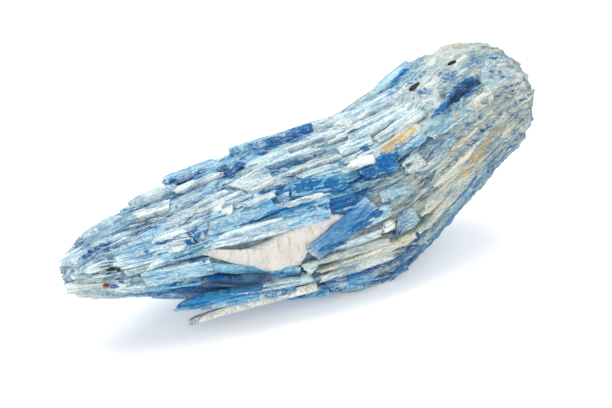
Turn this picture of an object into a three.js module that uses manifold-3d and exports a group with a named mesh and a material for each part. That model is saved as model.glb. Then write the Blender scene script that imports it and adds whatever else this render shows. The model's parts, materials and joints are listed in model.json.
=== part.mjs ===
// A kyanite blade cluster: a mass of long flat blades grown side by side, with a lens of white quartz in its
// front. It lies on its side, rests on its belly, and both of its ends are raised.
// Millimetres, +Z up. X runs along the blades, from the loose tips at -X to the blunt end at +X.
import * as THREE from "three";
import { mergeVertices } from "three/addons/utils/BufferGeometryUtils.js";
import Module from "manifold-3d";

const wasm = await Module();
wasm.setup();

// The outline of the whole mass, as sections across X: the lowest and highest Z, and the front and back Y.
const SECTIONS = [
  { x: -54, low: 12.5, high: 18.8, front: -5, back: 2 },
  { x: -48, low: 11.5, high: 22.1, front: -8.5, back: 6 },
  { x: -41, low: 10, high: 22.2, front: -10.4, back: 8.8 },
  { x: -39.5, low: 9.6, high: 23.2, front: -10.7, back: 9.4 },
  { x: -34, low: 9.1, high: 24.1, front: -11.8, back: 10.8 },
  { x: -31, low: 8.3, high: 24.6, front: -12.3, back: 11.6 },
  { x: -28, low: 7.2, high: 26.2, front: -12.8, back: 12.4 },
  { x: -24, low: 4.8, high: 26.8, front: -13.4, back: 13.2 },
  { x: -20, low: 3.2, high: 27.5, front: -14, back: 14 },
  { x: -17.5, low: 2.7, high: 27.8, front: -14.3, back: 14.4 },
  { x: -15, low: 2.3, high: 29, front: -14.6, back: 14.8 },
  { x: -10, low: 1.4, high: 29.6, front: -15, back: 15.5 },
  { x: 0, low: -0.9, high: 30.3, front: -16, back: 16 },
  { x: 12, low: -2.8, high: 31.7, front: -16, back: 16 },
  { x: 20, low: -0.6, high: 33.4, front: -14.5, back: 16 },
  { x: 25, low: 3.4, high: 36.6, front: -14, back: 16.5 },
  { x: 32, low: 9, high: 39.4, front: -13, back: 16.5 },
  { x: 42, low: 16.2, high: 41, front: -11, back: 15 },
  { x: 50, low: 20.4, high: 39.6, front: -8.8, back: 12.2 },
  { x: 54.2, low: 23.5, high: 36, front: -5.5, back: 8.5 },
];
const SQUARENESS = 2.6; // power of the rounded-square sections: 2 is an ellipse
const CORE_DEPTH = 1.4; // how far the solid middle lies under the outline
const CORE_SIDES = 16;
const CORE_SHRINK = 0.985; // length of the solid middle, as a share of the outline's
const TIP_WIDTH = 0.78; // width of a blade's tip, as a share of its root
const TIP_SLANT = 0.35; // how far a broken blade end leans, per millimetre across the blade
const ROOT_LIFT = 1; // the most that a blade's root stands out of the outline
const GAP = 0.35; // room between the quartz and its pocket
const POCKET_MOUTH = 4; // how far the pocket's cutter stands out of the surface
const WELD = 1e-4; // vertices closer than this are one
const TO_ORIGIN = new THREE.Vector3(1.2, -0.25, 0); // puts the origin under the middle of the whole part

// The blades that show: tip x, tip turn, root x, root turn, width, thickness, lift, roll. Turns are degrees round
// X, 0 at the front and 90 on top. Lift is how far a blade's tip stands out of the outline.
const BLADES = [
  // loose tips at the -X end
  [-55.6, 98, -43, 95, 4.5, 2.2, 0.4, 0],
  [-52.5, 76, -41, 80, 3.6, 2, 0.9, 0],
  [-52, 58, -41, 62, 2.6, 1.8, 0.6, 4],
  [-50.5, 46, -36, 50, 3.2, 1.8, 0.6, 0],
  [-53.5, 24, -45, 26, 2.4, 2.2, 0.2, 0],
  [-47, 36, -37.5, 36, 2.6, 1.6, 0.5, 0],
  [-55, -8, -44, -6, 3.2, 3, 0.4, 0],
  [-53.5, 8, -43, 9, 3, 2.2, 0.5, -3],
  [-55, -28, -43, -26, 2.6, 2.4, 0.3, 0],
  [-48, -20, -38, -18, 2.4, 1.8, 0.3, 0],
  [-43.5, 2, -27, 2, 4, 1.8, 1.4, 5],
  [-40.5, 38, -33.5, 39, 4.6, 1.8, 0.5, 0],
  [-37, 25, -26.3, 27.5, 2.2, 1.6, 1.5, 10],
  [-33.5, 12, -9, -15.5, 2.4, 1.6, 1.2, 0],
  [-41.5, 68, -33, 66, 3, 1.5, 0.4, 0],
  [-38.4, 92, -30, 88, 2.4, 1.6, 1.7, 0],
  [-38, 118, -27, 112, 3.6, 1.8, 1.9, 0],
  [-49.5, 121, -39, 118, 3.4, 1.8, 0.8, 0],
  [-46, -12, -31, -14, 2.6, 1.8, 0.5, 0],
  [-36, 38, -31, 37, 2.8, 1.6, 0.7, 0],
  [-31.8, 41, -28.2, 39.5, 3, 1.5, 0.4, 0],
  // the fan of loose blades low in front
  [-31, -15, -16.5, -17, 3.2, 1.6, 1.3, 0],
  [-37.3, -41, -17, -26, 3, 1.8, 3, 8],
  [-33.5, -60, -4, -34, 3, 2, 7.2, 6],
  // the fringe along the top of the middle
  [-31.6, 119, -16, 113, 4.2, 1.8, 3.1, 0],
  [-31, 104, -17, 98, 2.6, 1.4, 1.6, 0],
  [-25.5, 108, -12, 104, 2.6, 1.5, 0.9, 0],
  [-22, 120, -8, 116, 3, 1.6, 0.5, 0],
  [-14.8, 119, 5, 114, 4, 2, 1.5, -8],
  [-31, 88, -19, 86, 4.4, 1.8, 0.6, 0],
  [-22.5, 80, -18.5, 79, 2.4, 1.6, 0.8, 0],
  [-31, 64, -21, 62, 3.2, 1.5, 0.4, 0],
  [-19.8, 69, -10.5, 70, 5, 2.2, 1, 0],
  [-17, 88, -4, 90, 3.2, 1.6, 0.5, 0],
  [-19, 97, -8, 97, 2.6, 1.6, 0.4, 0],
  [-9, 104, 5, 108, 2.6, 1.6, 0.3, 0],
  [-12, 80, 2, 80, 3, 1.6, 0.7, 0],
  [-6, 93, 9, 92, 3.2, 1.6, 0.7, 0],
  // round the upper edge of the quartz
  [-23.5, 54, -20.8, 54, 2.8, 1.6, 0.8, 0],
  [-20.5, 44, -13.3, 44, 2.8, 1.6, 1.2, 0],
  [-29.5, 38.5, -2, 32.5, 5.6, 2, 1.5, 0],
  [-29, 28, -12, 27, 3.2, 2, 1.8, 4],
  [-10.5, 50, 1.5, 47.5, 3.6, 1.6, 0.8, 0],
  [-8.5, 57, 3, 58, 2.2, 1.4, 0.6, 0],
  [-9, 66, 4, 67, 2.8, 1.5, 0.5, 0],
  // right of the quartz
  [-5.5, 33, 7.6, 33.5, 2.6, 1.6, 0.4, 0],
  [-8.3, -2, 7.4, 25, 5.2, 2, 1.4, 6],
  [2, 12, 10.5, 19, 3, 1.6, 0.8, 0],
  [5.3, 45.5, 9, 45.5, 2.4, 1.5, 0.9, 0],
  [2.3, 55.5, 9.8, 53.5, 2.4, 1.4, 1.4, 0],
  [8, 48, 14.8, 47, 4.6, 1.8, 1, 0],
  [7.8, 27.5, 14.8, 27, 3.2, 1.8, 0.4, 0],
  [14.4, 39, 20, 37, 4.2, 2, 1, 0],
  [10, 3, 17.6, 6, 4.6, 2, 1, 0],
  [7.3, 5, 11.2, 9, 2.4, 1.6, 0.9, 0],
  [6, 61, 10.2, 62.5, 2.2, 1.4, 0.6, 0],
  // under the quartz and the lower front
  [-10.3, -14, -6, -12.5, 3, 1.6, 0.9, 0],
  [-7.5, -18.5, 13, -8, 2.2, 1.6, 1.3, 0],
  [8, -11, 17, -9, 2.2, 1.6, 0.9, 0],
  [-20, -20, -10, -16, 2.8, 1.4, 0.1, 0],
  [-8, -32, 6, -26, 2.4, 1.8, 0.4, 0],
  [-3, -36, 9, -33, 3, 2.2, 0.8, 0],
  [-6, -48, 8, -45, 3.6, 2.5, 0.8, 0],
  [3, -32, 19, -25, 2.4, 2, 0.5, 0],
  [4, -46, 17, -38, 3.6, 2.5, 0.8, 0],
  [2, -60, 15, -53, 4, 2.5, 0.6, 0],
  [-14, -48, -2, -48, 3, 2.2, 0.8, 0],
  // the shoulder where the mass turns upwards
  [10.8, 56.5, 21.5, 57, 2.8, 1.6, 0.8, 0],
  [14.5, 50.5, 22, 49.5, 2.6, 1.6, 0.7, 0],
  [11, 66, 24, 64, 3, 1.6, 0.7, 0],
  [3, 69, 12, 69, 2.6, 1.5, 0.7, 0],
  [6, 77, 22, 74, 3.4, 1.7, 0.8, 0],
  [3, 86, 20, 84, 3, 1.7, 0.6, 0],
  [8, 98, 24, 96, 3.6, 1.8, 0.6, 0],
  [4, 108, 22, 106, 3.6, 2, 0.6, 0],
  [22, 48, 32, 46, 4.2, 1.8, 0.3, 0],
  [20.8, 37, 27.5, 36, 3.6, 1.6, 0.4, 0],
  [16, 28, 26, 26, 2.2, 1.6, 0.5, 0],
  // the raised lobe
  [19.5, 122, 31, 121, 4.5, 3, 1, 0],
  [21.5, 103, 30, 115, 2.2, 2, 0.9, 0],
  [20, 95, 34, 97, 3.8, 2.2, 0.8, 0],
  [26, 86, 40, 90, 3.2, 2.2, 0.8, 0],
  [25, 76, 37, 77, 3.4, 2, 0.8, 0],
  [25.5, 63, 30.5, 64, 2.2, 1.8, 0.6, 0],
  [31, 104, 46, 104, 4.4, 2.6, 0.6, 0],
  [34, 116, 47, 116, 4, 2.6, 0.5, 0],
  [29, 58, 37, 57, 4.5, 1.8, 0.2, 0],
  [36, 53, 45, 57, 5.4, 3, 1.2, 0],
  [40, 70, 47, 71, 3, 2.4, 0.6, 0],
  [41, 86, 48, 86, 5, 3, 0.3, 0],
  [31, 41, 38.5, 40, 2.6, 2, 0.5, 0],
  // the blunt +X end and its flank
  [38, 40, 48, 40, 4.4, 3, 0.4, 0],
  [36, 28, 48.5, 27, 4.4, 3, 0.5, 0],
  [27, 34, 38, 32, 3.2, 2.2, 0.6, 0],
  [20, 22, 34, 20, 3.2, 2, 0.8, 0],
  [20, 12, 36, 12, 3, 2, 0.9, 0],
  [28, 3, 44, 10, 3, 2, 0.9, 0],
  [17, 2, 31, 1, 2.8, 2, 0.8, 0],
  [33, -6, 46, 0, 3, 2.4, 0.2, 0],
  [17, -12, 33, -9, 3.2, 2.2, 0.7, 0],
  [19, -24, 37, -20, 3.4, 2.4, 0.6, 0],
  [33, -20, 49, -15, 3.6, 2.4, 0.6, 0],
  [40, 12, 49.5, 10, 4.4, 3, 0.4, 0],
  [42, -6, 50, -5, 4, 3, 0.4, 0],
  [36, -36, 48.5, -32, 4, 2.4, 0.1, 0],
];
// The quartz lens's edge on the outline: x and turn of each corner, clockwise from its -X tip.
const QUARTZ_EDGE = [
  [-31, 25],
  [-27.5, 23],
  [-24.5, 20],
  [-20.5, 18],
  [-16, 20],
  [-11, 24],
  [-5.5, 28],
  [-3, 28],
  [0, 25],
  [-3.8, 16],
  [-7.9, 4],
  [-9.7, -10],
  [-14, -13.5],
  [-18.6, -7],
  [-22.2, 1],
  [-27.8, 12.5],
];
const QUARTZ_LIFT = 0.4; // how far the quartz stands out of the outline
const QUARTZ_DEPTH = 6; // how deep the quartz goes into the mass
const QUARTZ_INNER = 0.7; // size of its inner face, as a share of its outer one
const SHARPEST = 0.35; // a corner sharper than this moves out no further, so that the pocket has no long notch
const QUARTZ_TURN = 10; // the turn that its face looks along

// The blades behind and below, in rows round the mass: each row is a turn, and its blades run from x to x.
const HIDDEN_ROWS = [140, 160, 180, 200, 220, 240, 260, 280, 298];
const HIDDEN_START = -50;
const HIDDEN_END = 48;
const HIDDEN_LENGTH = 30;
const HIDDEN_WIDTH = 6.5;
const HIDDEN_THICK = 2.4;
const HIDDEN_LIFT = 0.7;
const HIDDEN_STEP = 0.8; // from one blade's start to the next, as a share of their length
const HIDDEN_SHIFT = 8; // the most that a row starts later
const HIDDEN_LEAN = 2.5; // the most degrees that a blade's ends lie off its row
const HIDDEN_ROLL = 5; // the most degrees that its face is turned
const HIDDEN_SPREAD = 0.2; // how much its length and width differ, as a share

const rad = THREE.MathUtils.degToRad;

// A repeatable number from 0 to 1 for each whole number.
function chance(n) {
  const s = Math.sin(n * 12.9898) * 43758.5453;
  return s - Math.floor(s);
}

// The centre and half sizes of the section at x, between the two nearest given ones.
function section(x) {
  const last = SECTIONS.length - 1;
  const found = SECTIONS.findIndex((s) => s.x > x);
  const i = found < 0 ? last : Math.max(found, 1);
  const [a, b] = [SECTIONS[i - 1], SECTIONS[i]];
  const share = THREE.MathUtils.clamp((x - a.x) / (b.x - a.x), 0, 1);
  const [low, high, front, back] = ["low", "high", "front", "back"].map((k) => a[k] + (b[k] - a[k]) * share);
  return { y: (front + back) / 2, z: (low + high) / 2, halfY: (back - front) / 2, halfZ: (high - low) / 2 };
}

// A point on the outline at x and turn, stood out by lift: a rounded square round the section's centre.
function onOutline(x, turn, lift = 0) {
  const s = section(x);
  const c = Math.cos(rad(turn));
  const d = Math.sin(rad(turn));
  const reach = (Math.abs(c) ** SQUARENESS + Math.abs(d) ** SQUARENESS) ** (-1 / SQUARENESS);
  return new THREE.Vector3(x, s.y - (s.halfY + lift) * reach * c, s.z + (s.halfZ + lift) * reach * d);
}

function outwardAt(x, turn) {
  const along = onOutline(x + 1, turn).sub(onOutline(x - 1, turn));
  const round = onOutline(x, turn + 2).sub(onOutline(x, turn - 2));
  return along.cross(round).normalize();
}

// A manifold-3d solid of a closed geometry.
function toSolid(geometry) {
  const bare = geometry.clone();
  bare.deleteAttribute("normal");
  bare.deleteAttribute("uv");
  const merged = mergeVertices(bare, WELD);
  return new wasm.Manifold(
    new wasm.Mesh({
      numProp: 3,
      vertProperties: merged.attributes.position.array,
      triVerts: new Uint32Array(merged.index.array),
    }),
  );
}

function toGeometry(solid) {
  const { vertProperties, triVerts } = solid.getMesh();
  const geometry = new THREE.BufferGeometry();
  geometry.setAttribute("position", new THREE.BufferAttribute(vertProperties, 3));
  geometry.setIndex(new THREE.BufferAttribute(triVerts, 1));
  geometry.computeVertexNormals();
  return geometry;
}

// The solid middle of the mass: a cylinder whose rings are moved onto the outline's sections.
function core() {
  const rings = SECTIONS.length - 1;
  const geometry = new THREE.CylinderGeometry(1, 1, 1, CORE_SIDES, rings);
  const place = geometry.attributes.position;
  for (let i = 0; i < place.count; i += 1) {
    const ring = Math.round((0.5 - place.getY(i)) * rings);
    const x = SECTIONS[ring].x * CORE_SHRINK;
    const turn = THREE.MathUtils.radToDeg(Math.atan2(place.getX(i), place.getZ(i)));
    const onRing = Math.hypot(place.getX(i), place.getZ(i)) > 0.5;
    const { y, z } = section(x);
    const p = onRing ? onOutline(x, turn, -CORE_DEPTH) : new THREE.Vector3(x, y, z);
    place.setXYZ(i, p.x, p.y, p.z);
  }
  return toSolid(geometry);
}

// One blade: a long box laid on the outline from its tip to its root, its flat face looking outwards. Its tip is
// narrower than its root, and both ends are broken off at a slant.
function blade([tipX, tipTurn, rootX, rootTurn, width, thick, lift, roll]) {
  const from = onOutline(tipX, tipTurn, lift);
  const along = onOutline(rootX, rootTurn, Math.min(lift, ROOT_LIFT)).sub(from);
  const length = along.length();
  along.normalize();
  const outward = outwardAt((tipX + rootX) / 2, (tipTurn + rootTurn) / 2).applyAxisAngle(along, rad(roll));
  outward.addScaledVector(along, -outward.dot(along)).normalize();
  const across = new THREE.Vector3().crossVectors(outward, along);
  const geometry = new THREE.BoxGeometry(width, thick, length);
  const place = geometry.attributes.position;
  for (let i = 0; i < place.count; i += 1) {
    const isTip = place.getZ(i) < 0;
    const sideways = place.getX(i) * (isTip ? TIP_WIDTH : 1);
    place.setXYZ(i, sideways, place.getY(i) - thick / 2, place.getZ(i) + length / 2 + TIP_SLANT * sideways);
  }
  const frame = new THREE.Matrix4().makeBasis(across, outward, along).setPosition(from);
  return toSolid(geometry.applyMatrix4(frame));
}

// The blades that face away: rows of overlapping blades round the back and the belly, a little uneven.
function hiddenBlades() {
  const blades = [];
  const spread = (n, size) => size * (2 * chance(n) - 1);
  HIDDEN_ROWS.forEach((turn, row) => {
    const start = HIDDEN_START + HIDDEN_SHIFT * chance(row + 1);
    for (let x = start; x < HIDDEN_END - HIDDEN_LENGTH / 2; x += HIDDEN_LENGTH * HIDDEN_STEP) {
      const n = 10 * row + Math.round(x);
      const end = Math.min(x + HIDDEN_LENGTH * (1 + spread(n, HIDDEN_SPREAD)), HIDDEN_END);
      const lean = spread(n + 3, HIDDEN_LEAN);
      const width = HIDDEN_WIDTH * (1 + spread(n + 7, HIDDEN_SPREAD));
      const lift = HIDDEN_LIFT * chance(n + 11);
      blades.push([x, turn - lean, end, turn + lean, width, HIDDEN_THICK, lift, spread(n + 5, HIDDEN_ROLL)]);
    }
  });
  return blades;
}

// A closed body through rings of points, one ring after another, with a fan over each end.
function throughRings(rings) {
  const count = rings[0].length;
  const points = rings.flat();
  const faces = [];
  for (let i = 0; i < count; i += 1) {
    const j = (i + 1) % count;
    for (let ring = 1; ring < rings.length; ring += 1) {
      const [a, b] = [(ring - 1) * count + i, (ring - 1) * count + j];
      faces.push(a, b, b + count, a, b + count, a + count);
    }
    faces.push(points.length, j, i, points.length + 1, points.length - count + i, points.length - count + j);
  }
  const ends = [rings[0], rings.at(-1)].map((ring) => middleOf(ring));
  const geometry = new THREE.BufferGeometry().setFromPoints([...points, ...ends]);
  geometry.setIndex(faces);
  return toSolid(geometry);
}

const middleOf = (points) => points.reduce((sum, p) => sum.add(p), new THREE.Vector3()).divideScalar(points.length);

// The quartz, from its face on the outline to a smaller floor inside the mass. The cutter for its pocket is
// the same shape with every side moved out by grow, and a mouth in front of the face. Each corner moves along the
// line halfway between its two sides, further where it is sharp.
function quartzBody(grow, mouth) {
  const edge = QUARTZ_EDGE.map(([x, turn]) => onOutline(x, turn, QUARTZ_LIFT));
  const middle = middleOf(edge);
  const outward = outwardAt(middle.x, QUARTZ_TURN);
  const face = edge.map((p, i) => {
    const before = p.clone().sub(edge.at(i - 1)).normalize();
    const after = edge[(i + 1) % edge.length].clone().sub(p).normalize();
    const along = before.add(after).divideScalar(2);
    const reach = grow / Math.max(along.length(), SHARPEST);
    return p.clone().addScaledVector(outward.clone().cross(along).normalize(), reach);
  });
  const floor = face.map((p) => {
    const shrunk = middle.clone().lerp(p, QUARTZ_INNER);
    return shrunk.addScaledVector(outward, -QUARTZ_DEPTH - grow);
  });
  const front = face.map((p) => p.clone().addScaledVector(outward, mouth));
  return throughRings(mouth > 0 ? [front, face, floor] : [face, floor]);
}

// Everything of a solid above Z 0.
function trimFlat(solid) {
  const below = new THREE.BoxGeometry(300, 300, 100).translate(0, 0, -50);
  return solid.subtract(toSolid(below));
}

// The largest of a solid's separate bodies.
function mainBody(solid) {
  return solid.decompose().reduce((a, b) => (a.volume() > b.volume() ? a : b));
}

function kyanite() {
  const blades = [...BLADES, ...hiddenBlades()].map(blade);
  const mass = wasm.Manifold.union([core(), ...blades]);
  const pocket = quartzBody(GAP, POCKET_MOUTH);
  return mainBody(trimFlat(mass).subtract(pocket).simplify(0.05));
}

function addPiece(group, name, solid, material) {
  const mesh = new THREE.Mesh(toGeometry(solid), new THREE.MeshStandardMaterial(material));
  mesh.name = name;
  mesh.position.copy(TO_ORIGIN);
  group.add(mesh);
}

const cluster = new THREE.Group();
addPiece(cluster, "kyanite_blades", kyanite(), { color: 0x86add0, roughness: 0.45, metalness: 0 });
addPiece(cluster, "quartz_lens", quartzBody(0, 0), {
  color: 0xf1e9df,
  roughness: 0.6,
  metalness: 0,
});

export default cluster;
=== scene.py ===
import json
import math

import bpy
import numpy as np
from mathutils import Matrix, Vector

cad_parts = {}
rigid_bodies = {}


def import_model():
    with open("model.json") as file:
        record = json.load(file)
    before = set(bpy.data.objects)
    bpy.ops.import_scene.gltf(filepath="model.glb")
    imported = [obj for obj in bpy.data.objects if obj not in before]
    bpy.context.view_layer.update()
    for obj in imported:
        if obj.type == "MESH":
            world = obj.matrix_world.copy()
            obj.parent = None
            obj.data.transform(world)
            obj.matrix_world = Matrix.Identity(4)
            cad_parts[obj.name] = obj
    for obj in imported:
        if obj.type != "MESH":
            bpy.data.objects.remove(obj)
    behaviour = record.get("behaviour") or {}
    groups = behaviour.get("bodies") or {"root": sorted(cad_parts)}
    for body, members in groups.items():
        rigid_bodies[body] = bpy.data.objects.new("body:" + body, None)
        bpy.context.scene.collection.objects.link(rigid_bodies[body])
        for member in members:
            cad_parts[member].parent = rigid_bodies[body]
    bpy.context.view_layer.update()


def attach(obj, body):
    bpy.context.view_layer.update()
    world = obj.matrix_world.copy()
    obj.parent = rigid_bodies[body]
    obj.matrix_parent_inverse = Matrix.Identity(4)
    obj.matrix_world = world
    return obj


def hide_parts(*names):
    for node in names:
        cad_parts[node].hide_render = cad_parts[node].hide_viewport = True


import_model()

bl_info = {
    "name": "Kyanite blade cluster",
    "version": (1, 0, 0),
    "blender": (4, 5, 0),
    "location": "View3D > Sidebar > Kyanite",
    "description": "Grows a cluster of blue kyanite blades with a lens of white quartz round its solid model",
    "category": "Add Mesh",
}

# ---------------------------------------------------------------------------------------------- driving sizes
# Lengths are in millimetres until a mesh is made. X runs along the blades, from the loose tips at -X.

MM = 0.001

# The outline of the whole mass: x, lowest and highest z, front and back y of each section.
SECTIONS = np.array([
    (-54, 12.5, 18.8, -5, 2), (-48, 11.5, 22.1, -8.5, 6), (-41, 10, 22.2, -10.4, 8.8),
    (-39.5, 9.6, 23.2, -10.7, 9.4), (-34, 9.1, 24.1, -11.8, 10.8), (-31, 8.3, 24.6, -12.3, 11.6),
    (-28, 7.2, 26.2, -12.8, 12.4), (-24, 4.8, 26.8, -13.4, 13.2), (-20, 3.2, 27.5, -14, 14),
    (-17.5, 2.7, 27.8, -14.3, 14.4), (-15, 2.3, 29, -14.6, 14.8), (-10, 1.4, 29.6, -15, 15.5),
    (0, -0.9, 30.3, -16, 16), (12, -2.8, 31.7, -16, 16), (20, -0.6, 33.4, -14.5, 16),
    (25, 3.4, 36.6, -14, 16.5), (32, 9, 39.4, -13, 16.5), (42, 16.2, 41, -11, 15),
    (50, 20.4, 39.6, -8.8, 12.2), (54.2, 23.5, 36, -5.5, 8.5),
])
SQUARENESS = 2.6  # the power of the rounded square that every section is
MM_PER_DEGREE = 0.28  # how far a degree of turn is on the outline, about
ROOT_LIFT = 1.0
LOOSE_END, BLUNT_END = -52.0, 51.5  # x where the fine mass begins and ends
LAST_ROOT = 50  # the largest x of a fine blade's root
TO_ORIGIN = np.array([1.2, -0.25, 0.0])  # from the outline's own origin to the part's

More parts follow.
